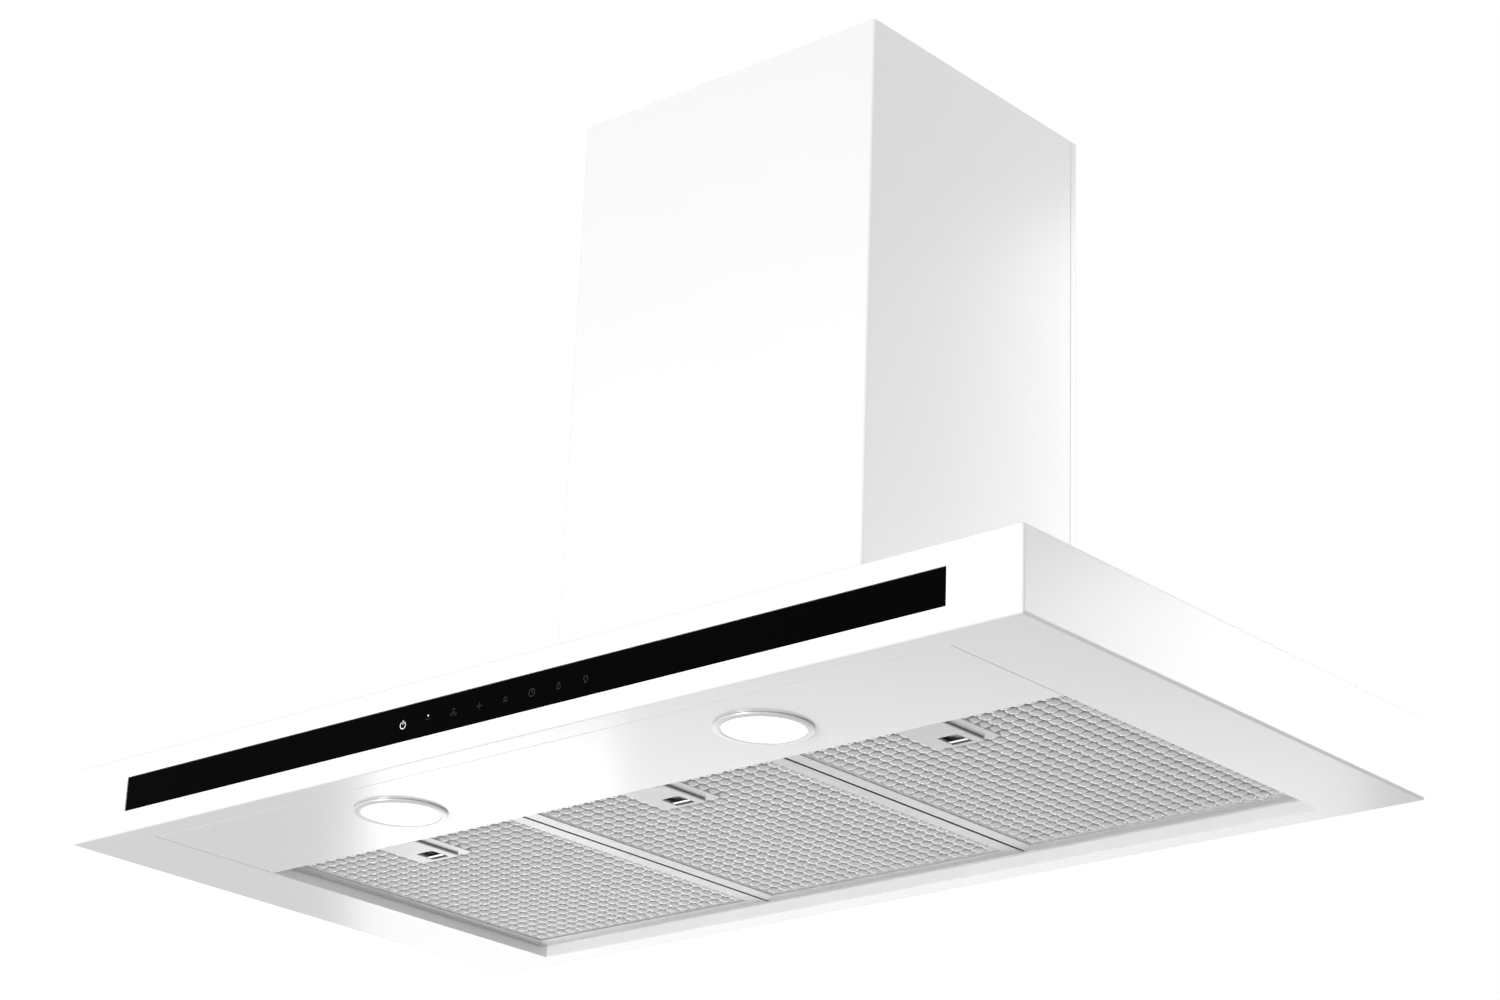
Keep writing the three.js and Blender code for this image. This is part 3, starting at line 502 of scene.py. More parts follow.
# A folded sheet: a path in plan with the sheet on its left, drawn up between two heights.
def foldedSheet(bm, path, thickness, span):
    count = len(path)
    inner = []
    for i, p in enumerate(path):
        before = (p - path[i - 1]).normalized() if i else (path[1] - p).normalized()
        after = (path[i + 1] - p).normalized() if i < count - 1 else before
        along = (before + after).normalized()
        normal = Vector((-along.y, along.x))
        inner.append(p + normal * (thickness / max(0.2, normal.dot(Vector((-before.y, before.x))))))
    rows = [[bm.verts.new((p.x, p.y, z)) for p in side] for z in span for side in (path, inner)]
    outerLow, innerLow, outerHigh, innerHigh = rows
    for i in range(count - 1):
        j = i + 1
        bm.faces.new((outerLow[i], outerLow[j], outerHigh[j], outerHigh[i]))
        bm.faces.new((innerLow[i], innerLow[j], innerHigh[j], innerHigh[i]))
        bm.faces.new((outerLow[i], outerLow[j], innerLow[j], innerLow[i]))
        bm.faces.new((outerHigh[i], outerHigh[j], innerHigh[j], innerHigh[i]))
    for i in (0, count - 1):
        bm.faces.new((outerLow[i], outerHigh[i], innerHigh[i], innerLow[i]))
    return bm


def evaluated(host, name):
    depsgraph = bpy.context.evaluated_depsgraph_get()
    mesh = bpy.data.meshes.new_from_object(host.evaluated_get(depsgraph))
    mesh.name = name
    return mesh


def carved(mesh, cutter, operation="DIFFERENCE"):
    host = bpy.data.objects.new("host", mesh)
    tool = bpy.data.objects.new("tool", cutter)
    scene.collection.objects.link(host)
    scene.collection.objects.link(tool)
    cut = host.modifiers.new("cut", "BOOLEAN")
    cut.operation = operation
    cut.solver = "EXACT"
    cut.object = tool
    result = evaluated(host, mesh.name)
    bpy.data.objects.remove(host)
    bpy.data.objects.remove(tool)
    return result


# A merged copy of a CAD node, with its flat faces in one piece again.
def copyOf(node):
    bm = bmesh.new()
    bm.from_mesh(frame["nodes"][node].data)
    bmesh.ops.remove_doubles(bm, verts=bm.verts, dist=1e-6)
    bmesh.ops.dissolve_limit(bm, angle_limit=math.radians(1), verts=bm.verts, edges=bm.edges)
    return meshOf(node + "Copy", bm)


# A piece that is its CAD node's own shape with its edges softened.
def plainPiece(name, node, material, bevel=0.0, **options):
    return addPiece(name, copyOf(node), material, [node], bevel=bevel, **options)


def skinned(piece, thickness):
    skin = piece.modifiers.new("skin", "SOLIDIFY")
    skin.thickness = thickness
    skin.offset = 0


# Profiles to turn: a plain cylinder, and one with its end edges taken off.
def plug(radius, low, high):
    return [(0, low), (radius, low), (radius, high), (0, high)]


def softPlug(radius, low, high, edge):
    ends = [(radius, low + edge), (radius, high - edge)]
    return [(0, low), (radius - edge, low), *ends, (radius - edge, high), (0, high)]


def sizeOf(node):
    low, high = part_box(node)
    return low, high, (low + high) / 2


class Pattern(Sheet):
    # A geometry tree with named inputs; grow() evaluates it into a plain mesh.
    kinds = {float: "NodeSocketFloat", int: "NodeSocketInt", tuple: "NodeSocketVector"}

    def __init__(self, name, values):
        super().__init__(bpy.data.node_groups.new(name, "GeometryNodeTree"))
        self.name, self.values, self.ids = name, values, {}
        for label, value in values.items():
            self.declare(label, self.kinds.get(type(value), "NodeSocketMaterial"))
        self.tree.interface.new_socket("Geometry", in_out="OUTPUT", socket_type="NodeSocketGeometry")
        self.entry = self.tree.nodes.new("NodeGroupInput")

    def declare(self, label, kind):
        self.ids[label] = self.tree.interface.new_socket(label, in_out="INPUT", socket_type=kind).identifier

    def given(self, label):
        return Wire(self, self.entry.outputs[label])

    def position(self):
        return self.separated(self.add("GeometryNodeInputPosition"))

    def moved(self, geometry, offset, turn=(0, 0, 0)):
        sockets = {"Geometry": geometry, "Translation": offset, "Rotation": turn}
        return self.add("GeometryNodeTransform", None, sockets)

    def onPoints(self, points, shape, turn=(0, 0, 0), selection=True):
        sockets = {"Points": points, "Instance": shape, "Rotation": turn, "Selection": selection}
        return self.add("GeometryNodeInstanceOnPoints", None, sockets)

    def grid(self, sizeX, sizeY, countX, countY):
        sockets = {"Size X": sizeX, "Size Y": sizeY, "Vertices X": countX, "Vertices Y": countY}
        return self.add("GeometryNodeMeshGrid", None, sockets)

    def shaped(self, geometry, **where):
        return self.add("GeometryNodeSetPosition", None, {"Geometry": geometry, **where})

    def finish(self, geometry):
        plain = self.add("GeometryNodeRealizeInstances", None, {"Geometry": geometry})
        sockets = {"Geometry": plain, "Material": self.given("Material")}
        painted = self.add("GeometryNodeSetMaterial", None, sockets)
        leave = self.tree.nodes.new("NodeGroupOutput")
        self.tree.links.new(painted.socket, leave.inputs[0])
        return self

    def grow(self, name, **changes):
        host = bpy.data.objects.new(name, bpy.data.meshes.new(name))
        scene.collection.objects.link(host)
        modifier = host.modifiers.new(self.name, "NODES")
        modifier.node_group = self.tree
        for label, value in {**self.values, **changes}.items():
            modifier[self.ids[label]] = value
        mesh = evaluated(host, name)
        bpy.data.objects.remove(host)
        return mesh


shellLow, shellHigh, _ = sizeOf("canopy_shell")
panelLow, panelHigh, _ = sizeOf("lamp_panel")
stripLow, stripHigh, _ = sizeOf("control_strip_glass")
boxLow, boxHigh, _ = sizeOf("blower_box")

canopySettings = {
    "sheet": 1 * mm,
    "fold": 2.2 * mm,  # outside radius of the folds
    "lip": 18 * mm,
    "panelSeam": 0.5 * mm,
    "railGap": 0.3 * mm,
    "stripGap": 0.4 * mm,
    "airHoleMargin": 18 * mm,
    "boxFlange": 7 * mm,
    "hookRoom": 2.5 * mm,
    "hookGap": 0.3 * mm,
    "screwHole": 1.8 * mm,
}


def boxScrewSpots():
    return [sizeOf("box_screw_" + str(i))[2] for i in (1, 2, 3, 4)]


def makeCanopy(s):
    t, seam = s["sheet"], s["panelSeam"]
    outer = blockMesh(shellLow, shellHigh, s["fold"], 5)
    inner = blockMesh(shellLow + Vector((t, t, t)), shellHigh - Vector((t, t, t)), s["fold"] - t, 3)
    shell = carved(outer, inner)
    openX, openFront = panelHigh.x + seam, panelLow.y - seam
    openBack = sizeOf("filter_rear_rail")[1].y + s["railGap"]
    low, lipTop = shellLow.z, shellLow.z + s["lip"]
    corners = [(-openX, openFront), (-openX, openBack), (openX, openBack), (openX, openFront)]
    lips = foldedSheet(bmesh.new(), rounded(corners, 0.6 * mm, 3), t, (low + 0.2 * mm, lipTop))
    cuts = bmesh.new()
    blockInto(cuts, (-openX, openFront, low - t), (openX, openBack, low + 1.5 * t))
    gap = s["stripGap"]
    blockInto(
        cuts,
        (stripLow.x - gap, shellLow.y - t, stripLow.z - gap),
        (stripHigh.x + gap, shellLow.y + 1.5 * t, stripHigh.z + gap),
        0.2 * mm,
        1,
    )
    margin, flange = s["airHoleMargin"], s["boxFlange"]
    blockInto(
        cuts,
        (boxLow.x + margin, boxLow.y + flange + margin, shellHigh.z - 1.5 * t),
        (boxHigh.x - margin, boxHigh.y - flange - margin, shellHigh.z + t),
        6 * mm,
        3,
    )
    for side in ("left", "right"):
        hookLow, hookHigh, _ = sizeOf("wall_hook_" + side)
        room = s["hookRoom"]
        plateTop = hookHigh.z - (6 - 0.3) * mm
        blockInto(
            cuts,
            (hookLow.x - room, -1.5 * t, hookLow.z - 2 * room + s["hookGap"]),
            (hookHigh.x + room, t, plateTop + s["hookGap"]),
            0.5 * mm,
            1,
        )
    for x, y, _ in boxScrewSpots():
        turnInto(cuts, plug(s["screwHole"], shellHigh.z - 2 * t, shellHigh.z + t), (x, y, 0), "Z", 24, False)
    opened = carved(shell, meshOf("cuts", cuts))
    whole = carved(opened, meshOf("lips", lips), "UNION")
    addPiece("canopyShell", whole, whiteEnamel, ["canopy_shell"])


makeCanopy(canopySettings)

panelSettings = {
    "sheet": 1 * mm, "fold": 0.8 * mm, "hole": 31 * mm, "flange": 10 * mm, "keeper": (18 * mm, 3 * mm)
}


def lampSpots():
    return [sizeOf("lamp_lens_" + side)[2] for side in ("left", "right")]


def makeLampPanel(s):
    t = s["sheet"]
    tray = blockMesh(panelLow, panelHigh, s["fold"], 4)
    above = panelLow.z + s["flange"]
    opened = carved(tray, blockMesh(panelLow + Vector((t, t, t)), panelHigh + Vector((-t, -t, t))))
    trim = blockMesh(
        (panelLow.x - t, panelLow.y - t, above), (panelHigh.x + t, panelHigh.y - 1.5 * t, panelHigh.z + 2 * t)
    )
    opened = carved(opened, trim)
    holes = bmesh.new()
    for at in lampSpots():
        turnInto(holes, plug(s["hole"], panelLow.z - t, panelLow.z + 2 * t), (at.x, at.y, 0), "Z", 96, False)
    wide, high = s["keeper"]
    for side in ("left", "centre", "right"):
        sliderLow, _, slider = sizeOf("latch_slider_" + side)
        z = sliderLow.z + 4.2 * mm
        blockInto(
            holes,
            (slider.x - wide / 2, panelHigh.y - 2 * t, z - 0.5 * mm),
            (slider.x + wide / 2, panelHigh.y + t, z + high - 0.5 * mm),
            0.5 * mm,
            2,
        )
    whole = carved(opened, meshOf("holes", holes))
    addPiece("lampPanel", whole, whiteEnamel, ["lamp_panel"])


makeLampPanel(panelSettings)
plainPiece("filterRearRail", "filter_rear_rail", whiteEnamel, 0.3 * mm)
print("canopy made")

stripSettings = {
    "edge": 0.7 * mm,
    "first": -92 * mm,  # first touch mark
    "pitch": 25.15 * mm,
    "size": 6.4 * mm,
    "line": 0.55 * mm,
    "back": 0.15 * mm,  # glass face behind the canopy's
    "height": -1.0 * mm,
}


# Flat strokes in x and z on the glass, each a rounded bar or a ring arc.
def barInto(bm, start, end, width, y, depth):
    a, b = Vector(start), Vector(end)
    along = (b - a).normalized() if (b - a).length > 1e-9 else Vector((1, 0))
    turn = math.atan2(along.y, along.x)
    outline = []
    for centre, first in ((b, -90), (a, 90)):
        for n in range(7):
            angle = turn + math.radians(first + 30 * n)
            outline.append((centre.x + width / 2 * math.cos(angle), centre.y + width / 2 * math.sin(angle)))
    drawnInto(bm, outline, (y - depth, y), "Y")


def arcInto(bm, centre, radius, start, end, width, y, depth):
    steps = max(8, int((end - start) / 12))
    angles = [math.radians(start + (end - start) * n / steps) for n in range(steps + 1)]
    outer, inner = (
        [(centre[0] + r * math.cos(a), centre[1] + r * math.sin(a)) for a in angles]
        for r in (radius + width / 2, radius - width / 2)
    )
    drawnInto(bm, outer + inner[::-1], (y - depth, y), "Y")


def powerMark(stroke, ring, r):
    ring((0, 0), r * 0.82, 125, 415)
    stroke((0, r * 0.25), (0, r * 1.05))


def plusMark(stroke, ring, r):
    stroke((-r * 0.7, 0), (r * 0.7, 0))
    stroke((0, -r * 0.7), (0, r * 0.7))


def minusMark(stroke, ring, r):
    stroke((-r * 0.7, 0), (r * 0.7, 0))


def fanMark(stroke, ring, r):
    ring((0, 0), r * 0.2, 0, 350)
    for n in range(3):
        a = math.radians(90 + 120 * n)
        ring((r * 0.58 * math.cos(a), r * 0.58 * math.sin(a)), r * 0.32, 120 * n - 10, 120 * n + 190)


def clockMark(stroke, ring, r):
    ring((0, 0), r * 0.85, 0, 355)
    stroke((0, 0), (0, r * 0.55))
    stroke((0, 0), (r * 0.4, 0))


def lampMark(stroke, ring, r):
    ring((0, r * 0.15), r * 0.55, -50, 230)
    stroke((-r * 0.28, -r * 0.5), (r * 0.28, -r * 0.5))
    stroke((-r * 0.18, -r * 0.8), (r * 0.18, -r * 0.8))


def boostMark(stroke, ring, r):
    for n in (-0.35, 0.35):
        stroke((-r * 0.55, n * r - r * 0.25), (0, n * r + r * 0.25))
        stroke((0, n * r + r * 0.25), (r * 0.55, n * r - r * 0.25))


def dropMark(stroke, ring, r):
    ring((0, -r * 0.2), r * 0.5, 150, 390)
    stroke((-r * 0.44, 0.05 * r), (0, r * 0.9))
    stroke((r * 0.44, 0.05 * r), (0, r * 0.9))


def makeStrip(s):
    pane = blockMesh(stripLow + Vector((0, s["back"], 0)), stripHigh, s["edge"], 4)
    addPiece("controlStripGlass", pane, glass, ["control_strip_glass"])
    face = stripLow.y + s["back"]
    litInk = touchInk("litTouchInk", 0.30, (0.95, 0.97, 1.0, 1))
    faintInk = touchInk("faintTouchInk", 0.02, (0.012, 0.012, 0.013, 1))
    marks = [powerMark, minusMark, fanMark, plusMark, boostMark, clockMark, dropMark, lampMark]
    for n, draw in enumerate(marks):
        bm = bmesh.new()
        x, z, r = s["first"] + n * s["pitch"], s["height"], s["size"] / 2
        depth = 0.06 * mm

        def stroke(start, end):
            barInto(bm, (x + start[0], z + start[1]), (x + end[0], z + end[1]), s["line"], face, depth)

        def ring(centre, radius, start, end):
            arcInto(bm, (x + centre[0], z + centre[1]), radius, start, end, s["line"], face, depth)

        draw(stroke, ring, r)
        ink = litInk if n == 0 else faintInk
        addPiece("touchMark" + str(n + 1), meshOf("mark", bm), ink, weighted=False)
    light = bmesh.new()
    x = s["first"] + s["pitch"]
    barInto(light, (x, s["height"] + 2.2 * mm), (x, s["height"] + 2.9 * mm), 0.9 * mm, face, 0.07 * mm)
    addPiece("speedLight", meshOf("speedLight", light), litInk, weighted=False)


makeStrip(stripSettings)
plainPiece("touchBoard", "touch_board", blackPlastic, 0.8 * mm)
print("control strip made")

lampSettings = {
    "segments": 128, "flange": 34.5 * mm, "neck": 30.5 * mm, "bore": 28.6 * mm, "ribs": 3, "finDepth": 4 * mm
}


def makeLamp(side, s):
    low, high, middle = sizeOf("lamp_bezel_" + side)
    at = (middle.x, middle.y, 0)
    face, top = low.z, high.z
    under = face + 2.2 * mm
    bezel = [
        (s["bore"], face + 0.9 * mm),
        (s["bore"] + 0.25 * mm, face + 0.35 * mm),
        (s["bore"] + 0.8 * mm, face + 0.05 * mm),
    ]
    bezel += [(s["bore"] + 1.6 * mm, face), (s["bore"] + 2.4 * mm, face + 0.1 * mm)]
    for n in range(7):
        a = math.radians(90 * n / 6)
        drop = (under - face) * 0.9
        bezel.append(
            (s["flange"] - 3.0 * mm * (1 - math.sin(a)), face + 0.15 * mm + drop * (1 - math.cos(a)) * 0.6)
        )
    bezel += [(s["flange"], under - 0.7 * mm), (s["flange"] - 0.9 * mm, under - 0.6 * mm)]
    bezel += [(s["flange"] - 0.9 * mm, under), (s["neck"], under), (s["neck"], top), (s["bore"], top)]
    mesh = turnedMesh(bezel, at, "Z", s["segments"])
    addPiece("lampBezel" + side.title(), mesh, satinPlating, ["lamp_bezel_" + side])

    low, high, middle = sizeOf("lamp_lens_" + side)
    r = (high.x - low.x) / 2
    lens = [(0, low.z)]
    for n in range(1, 9):
        share = n / 8
        lens.append((r * 0.97 * share, low.z + 0.6 * mm * share**3))
    lens += [(r * 0.995, low.z + 0.9 * mm), (r, low.z + 1.3 * mm), (r, high.z), (0, high.z)]
    mesh = turnedMesh(lens, at, "Z", s["segments"])
    lit = litLens(middle.x, middle.y, r)
    addPiece("lampLens" + side.title(), mesh, lit, ["lamp_lens_" + side])

    low, high, middle = sizeOf("lamp_can_" + side)
    step = (high.z - low.z) / (2 * s["ribs"] + 1)
    can = [(0, low.z)]
    e = 0.4 * mm
    for n in range(s["ribs"] + 1):
        z = low.z + 2 * n * step
        can += [(r - e, z), (r, z + e), (r, z + step - e), (r - e, z + step)]
        if n < s["ribs"]:
            can += [(r - s["finDepth"], z + step), (r - s["finDepth"], z + 2 * step)]
    can.append((0, high.z))
    mesh = turnedMesh(can, at, "Z", 72)
    addPiece("lampCan" + side.title(), mesh, castAluminium, ["lamp_can_" + side])


for lampSide in ("left", "right"):
    makeLamp(lampSide, lampSettings)
print("lamps made")

coverSettings = {
    "sheet": 1 * mm,
    "fold": 2.6 * mm,
    "returnWidth": 15 * mm,
    "hem": 9 * mm,  # pressed line in front of the back edge
    "hemDepth": 0.35 * mm,
    "foot": 8 * mm,
    "slot": 5 * mm,  # the openings under the louvres
    "slotFromTop": 60 * mm,
    "louvreSheet": 0.6 * mm,
}


# Plan path of a cover, run so that the sheet's inside is on its left.
def coverPath(low, high, s):
    r = s["returnWidth"]
    corners = [
        (low.x + r, high.y),
        (low.x, high.y),
        (low.x, low.y),
        (high.x, low.y),
        (high.x, high.y),
        (high.x - r, high.y),
    ]
    return rounded([Vector(c) for c in corners], s["fold"], 7)


# Presses a shallow line across the two side walls of a cover's path, at a given y.
def withHem(path, at, s):
    out = []
    for a, b in zip(path, path[1:]):
        out.append(a)
        if abs(a.x - b.x) < 1e-7 and abs(a.y - b.y) > 20 * mm:
            side = 1 if a.x > 0 else -1
            heading = 1 if b.y > a.y else -1
            line = [(-0.9, 0), (-0.45, 1), (0.45, 1), (0.9, 0)]
            out += [Vector((a.x - side * s["hemDepth"] * d, at + heading * w * mm)) for w, d in line]
    out.append(path[-1])
    return out


def makeLowerCover(s):
    low, high, _ = sizeOf("lower_chimney_cover")
    path = withHem(coverPath(low, high, s), high.y - s["hem"], s)
    body = meshOf("body", foldedSheet(bmesh.new(), path, s["sheet"], (low.z, high.z)))
    feet = bmesh.new()
    for side in (-1, 1):
        ends = sorted((side * (high.x - s["foot"]), side * (high.x - 0.6 * mm)))
        blockInto(
            feet,
            (ends[0], low.y + 4 * mm, low.z),
            (ends[1], high.y - 4 * mm, low.z + s["sheet"]),
            0.3 * mm,
            2,
        )
    whole = carved(body, meshOf("feet", feet), "UNION")
    addPiece("lowerChimneyCover", whole, whiteEnamel, ["lower_chimney_cover"])


makeLowerCover(coverSettings)

louvreSettings = {"Count": 6, "Pitch": 12 * mm, "Length": 60 * mm, "Reach": 4.2 * mm, "Height": 7.5 * mm}


# A row of pressed louvre hoods: half a squashed dome on each, stacked down a wall.
def louvrePattern(s):
    p = Pattern("louvreRow", {**s, "Place": (0.0, 0.0, 0.0), "Turn": (0.0, 0.0, 0.0), "Material": None})
    lines = p.add(
        "GeometryNodeMeshLine",
        {"mode": "OFFSET"},
        {"Count": p.given("Count"), "Offset": p.combined(0.0, 0.0, -1 * p.given("Pitch"))},
    )
    sheetGrid = p.grid(p.given("Length"), p.given("Height"), 13, 5)
    x, y, _ = p.position()
    along = (x / p.given("Length") * 2).size()
    up = y / p.given("Height") + 0.5
    bulge = (1 - along**6) * (1 - up**2)
    hood = p.shaped(sheetGrid, Position=p.combined(x, bulge * p.given("Reach"), y))
    row = p.onPoints(lines, hood)
    return p.finish(p.moved(row, p.given("Place"), p.given("Turn")))


def makeUpperCover(s, louvres):
    low, high, middle = sizeOf("upper_chimney_cover")
    body = meshOf("body", foldedSheet(bmesh.new(), coverPath(low, high, s), s["sheet"], (low.z, high.z)))
    cuts = bmesh.new()
    slotHeight, firstTop = s["slot"], high.z - s["slotFromTop"]
    for n in range(louvres["Count"]):
        top = firstTop - n * louvres["Pitch"]
        half = louvres["Length"] / 2
        ends = (low.x - 2 * mm, middle.y - half, top - slotHeight), (high.x + 2 * mm, middle.y + half, top)
        blockInto(cuts, *ends, 1.2 * mm, 3)
    whole = carved(body, meshOf("cuts", cuts))
    addPiece("upperChimneyCover", whole, whiteEnamel, ["upper_chimney_cover"], body="upper_section")
    pattern = louvrePattern(louvres)
    for side, turn in ((-1, -90), (1, 90)):
        wall = side * (high.x - s["sheet"] + 0.1 * mm)
        place = (wall, middle.y, firstTop - slotHeight / 2 + 1.2 * mm)
        hoods = pattern.grow("hoods", Place=place, Turn=(0.0, 0.0, math.radians(turn)), Material=whiteEnamel)
        name = "louvreHoods" + ("Left" if side < 0 else "Right")
        piece = addPiece(name, hoods, whiteEnamel, body="upper_section", weighted=False)
        skinned(piece, s["louvreSheet"])


makeUpperCover(coverSettings, louvreSettings)
plainPiece("ceilingBracket", "ceiling_bracket", zinc, 0.4 * mm, body="upper_section")
print("chimney made")

crimpSettings = {"Pitch": 11.1 * mm, "Crest": 2.9 * mm, "Waver": 0.3 * mm, "Rim": 3 * mm, "Tucked": 4 * mm}


# Pressed waffle sheet: pillow cells repeated over the filter, left out round the latch housing.
def crimpPattern(s):
    inputs = {
        **s, "Width": 0.24, "Depth": 0.29, "Notch": 0.03, "Notch Depth": 0.065, "Middle": (0.0, 0.0, 0.0)
    }
    p = Pattern("crimpedSheet", {**inputs, "Material": None})
    pitch = p.given("Pitch")
    countX = p.maths("ROUND", p.given("Width") / pitch)
    countY = p.maths("ROUND", p.given("Depth") / pitch)
    stepX = p.given("Width") / countX
    stepY = p.given("Depth") / countY
    places = p.grid((countX - 1) * stepX, (countY - 1) * stepY, countX, countY)
    cell = p.grid(stepX, stepY, 9, 9)
    x, y, _ = p.position()
    u = (x / stepX * 2).size()
    v = (y / stepY * 2).size()
    pillow = (1 - u**2) * (1 - v**2)
    saddle = 1 - (u * v) ** 2
    crest = pillow * 0.8 + saddle * 0.2
    pressed = p.shaped(cell, Offset=p.combined(0.0, 0.0, -1 * crest * p.given("Crest")))
    px, py, pz = p.position()
    frontEdge = -1 * p.given("Depth") * 0.5
    notchX = p.given("Notch") - stepX * 0.5
    notchY = frontEdge + p.given("Notch Depth") - stepY * 0.5
    inNotch = (notchX > px.size()) * (notchY > py)
    kept = p.maths("LESS_THAN", inNotch, 0.5)
    cells = p.onPoints(places, pressed, selection=kept)
    sheetMesh = p.add("GeometryNodeRealizeInstances", None, {"Geometry": cells})
    welded = p.add("GeometryNodeMergeByDistance", None, {"Geometry": sheetMesh, "Distance": 0.00002})
    inFromX = p.given("Width") * 0.5 - px.size()
    inFromY = p.given("Depth") * 0.5 - py.size()
    fromRim = (p.maths("MINIMUM", inFromX, inFromY) - p.given("Tucked")) / p.given("Rim")
    rim = p.add("ShaderNodeMath", {"operation": "SUBTRACT", "use_clamp": True}, {0: 1.0, 1: fromRim})
    lowest = p.maths("MAXIMUM", 0.0, pz + rim * p.given("Crest") * 0.85)
    edged = p.shaped(welded, Offset=p.combined(0.0, 0.0, -1 * lowest))
    # The crest height is kept for the mesh material, which paints shade into the low pits from it.
    marked = p.add(
        "GeometryNodeStoreNamedAttribute",
        {"data_type": "FLOAT", "domain": "POINT"},
        {"Geometry": edged, "Name": "crest", "Value": -1 * pz / p.given("Crest")},
    )
    wander = p.add("ShaderNodeTexNoise", {"noise_dimensions": "3D"}, {"Scale": 55.0, "Detail": 2.0})
    waved = p.shaped(marked, Offset=p.combined(0.0, 0.0, (wander - 0.5) * p.given("Waver") * 2))
    return p.finish(p.moved(waved, p.given("Middle")))


frameSettings = {
    "sheet": 1 * mm,
    "border": 12 * mm,
    "edge": 0.45 * mm,
    "mitre": 0.28 * mm,
    "housing": (27.5 * mm, 62 * mm),
    "foil": 0.5 * mm,
}


# Fine mitre joints where the channel's four sides meet, cut into a frame's face.
def mitreCuts(low, high, face, s):
    bm = bmesh.new()
    reach, half = s["border"] * 0.94, s["mitre"] / 2
    for x, dx in ((low.x, 1), (high.x, -1)):
        for y, dy in ((low.y, 1), (high.y, -1)):
            a = Vector((x + dx * 0.4 * mm, y + dy * 0.4 * mm))
            b = a + Vector((dx, dy)) * reach
            n = Vector((-dy, dx)).normalized() * half
            outline = [(p.x, p.y) for p in (a - n, b - n, b + n, a + n)]
            drawnInto(bm, outline, (face - 0.5 * mm, face + 0.3 * mm))
    return meshOf("mitres", bm)


def makeFilter(side, s, pattern):
    body = "filter_" + side
    name = side.title()
    low, high, middle = sizeOf("filter_frame_" + side)
    meshLow, meshHigh, meshMiddle = sizeOf("filter_mesh_" + side)
    backEdge = meshHigh.y + 1.3 * mm
    cuts = mitreCuts(low, Vector((high.x, backEdge, high.z)), low.z, s)
    framed = carved(copyOf("filter_frame_" + side), cuts)
    addPiece("filterFrame" + name, framed, aluminium, ["filter_frame_" + side], body=body, bevel=s["edge"])

    channel = 0.5 * mm
    notchHalf, notchDepth = s["housing"]
    crimped = pattern.grow(
        "filterMesh" + name,
        Width=meshHigh.x - meshLow.x - channel,
        Depth=meshHigh.y - meshLow.y - channel,
        Notch=notchHalf,
        Tucked=(meshHigh.x - meshLow.x - channel) / 2 - ((high.x - low.x) / 2 - s["border"]),
        **{"Notch Depth": notchDepth + 2 * mm, "Middle": (meshMiddle.x, meshMiddle.y, middle.z - 1.1 * mm)},
        Material=meshMetal,
    )
    piece = addPiece(
        "filterMesh" + name, crimped, meshMetal, ["filter_mesh_" + side], body=body, weighted=False, crease=60
    )
    skinned(piece, s["foil"])


latchSettings = {
    "window": (8.5 * mm, 38 * mm, 18.2 * mm),  # half width, start behind the frame's front, length
    "plateCorner": 1.6 * mm,
    "coils": 9,
    "wire": 0.7 * mm,
    "travel": 4 * mm,
}


def makeLatch(side, body, s):
    name = side.title()
    low, high, middle = sizeOf("latch_plate_" + side)
    front = sizeOf("filter_frame_" + side)[0].y
    half, start, windowLength = s["window"]
    bm = bmesh.new()
    outline = rounded(
        [(low.x, low.y), (high.x, low.y), (high.x, high.y), (low.x, high.y)], s["plateCorner"], 5, True
    )
    drawnInto(bm, [(p.x, p.y) for p in outline], (low.z, high.z))
    hole = bmesh.new()
    window = [(middle.x - half, front + start), (middle.x + half, front + start)]
    windowEnd = front + start + windowLength
    window += [(middle.x + half, windowEnd), (middle.x - half, windowEnd)]
    drawnInto(hole, [(p.x, p.y) for p in rounded(window, 1.4 * mm, 5, True)], (low.z - mm, high.z + mm))
    opened = carved(meshOf("plate", bm), meshOf("hole", hole))
    addPiece("latchPlate" + name, opened, aluminium, ["latch_plate_" + side], body=body, bevel=0.35 * mm)

    plainPiece("latchSlider" + name, "latch_slider_" + side, plating, 0.3 * mm, body="latch_" + side)
    springNode = "latch_spring_" + side
    spring = addPiece(
        "latchSpring" + name, springMesh(springNode, s), zinc, [springNode], body=body, weighted=False
    )
    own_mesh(spring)


# A compression spring along y, with closed ends, in the space of its CAD solid.
def springMesh(node, s):
    low, high, middle = sizeOf(node)
    wire = s["wire"]
    radius = (high.x - low.x) / 2 - wire / 2
    steps = s["coils"] * 16
    bm = bmesh.new()
    rings = []
    for n in range(steps + 1):
        share = n / steps
        angle = tau * s["coils"] * share
        eased = share - 0.05 * math.sin(tau * share)
        y = low.y + wire / 2 + (high.y - low.y - wire) * eased
        out = Vector((math.cos(angle), 0, math.sin(angle)))
        centre = Vector((middle.x, y, middle.z)) + out * radius
        ring = []
        for k in range(8):
            turn = tau * k / 8
            ring.append(
                bm.verts.new(centre + (out * math.cos(turn) + Vector((0, math.sin(turn), 0))) * wire / 2)
            )
        rings.append(ring)
    for a, b in zip(rings, rings[1:]):
        for k in range(8):
            bm.faces.new((a[k], a[(k + 1) % 8], b[(k + 1) % 8], b[k]))
    bm.faces.new(rings[0])
    bm.faces.new(rings[-1][::-1])
    return meshOf("spring", bm)


crimps = crimpPattern(crimpSettings)
for filterSide in ("left", "centre", "right"):
    makeFilter(filterSide, frameSettings, crimps)
    makeLatch(filterSide, "filter_" + filterSide, latchSettings)
print("filters made")

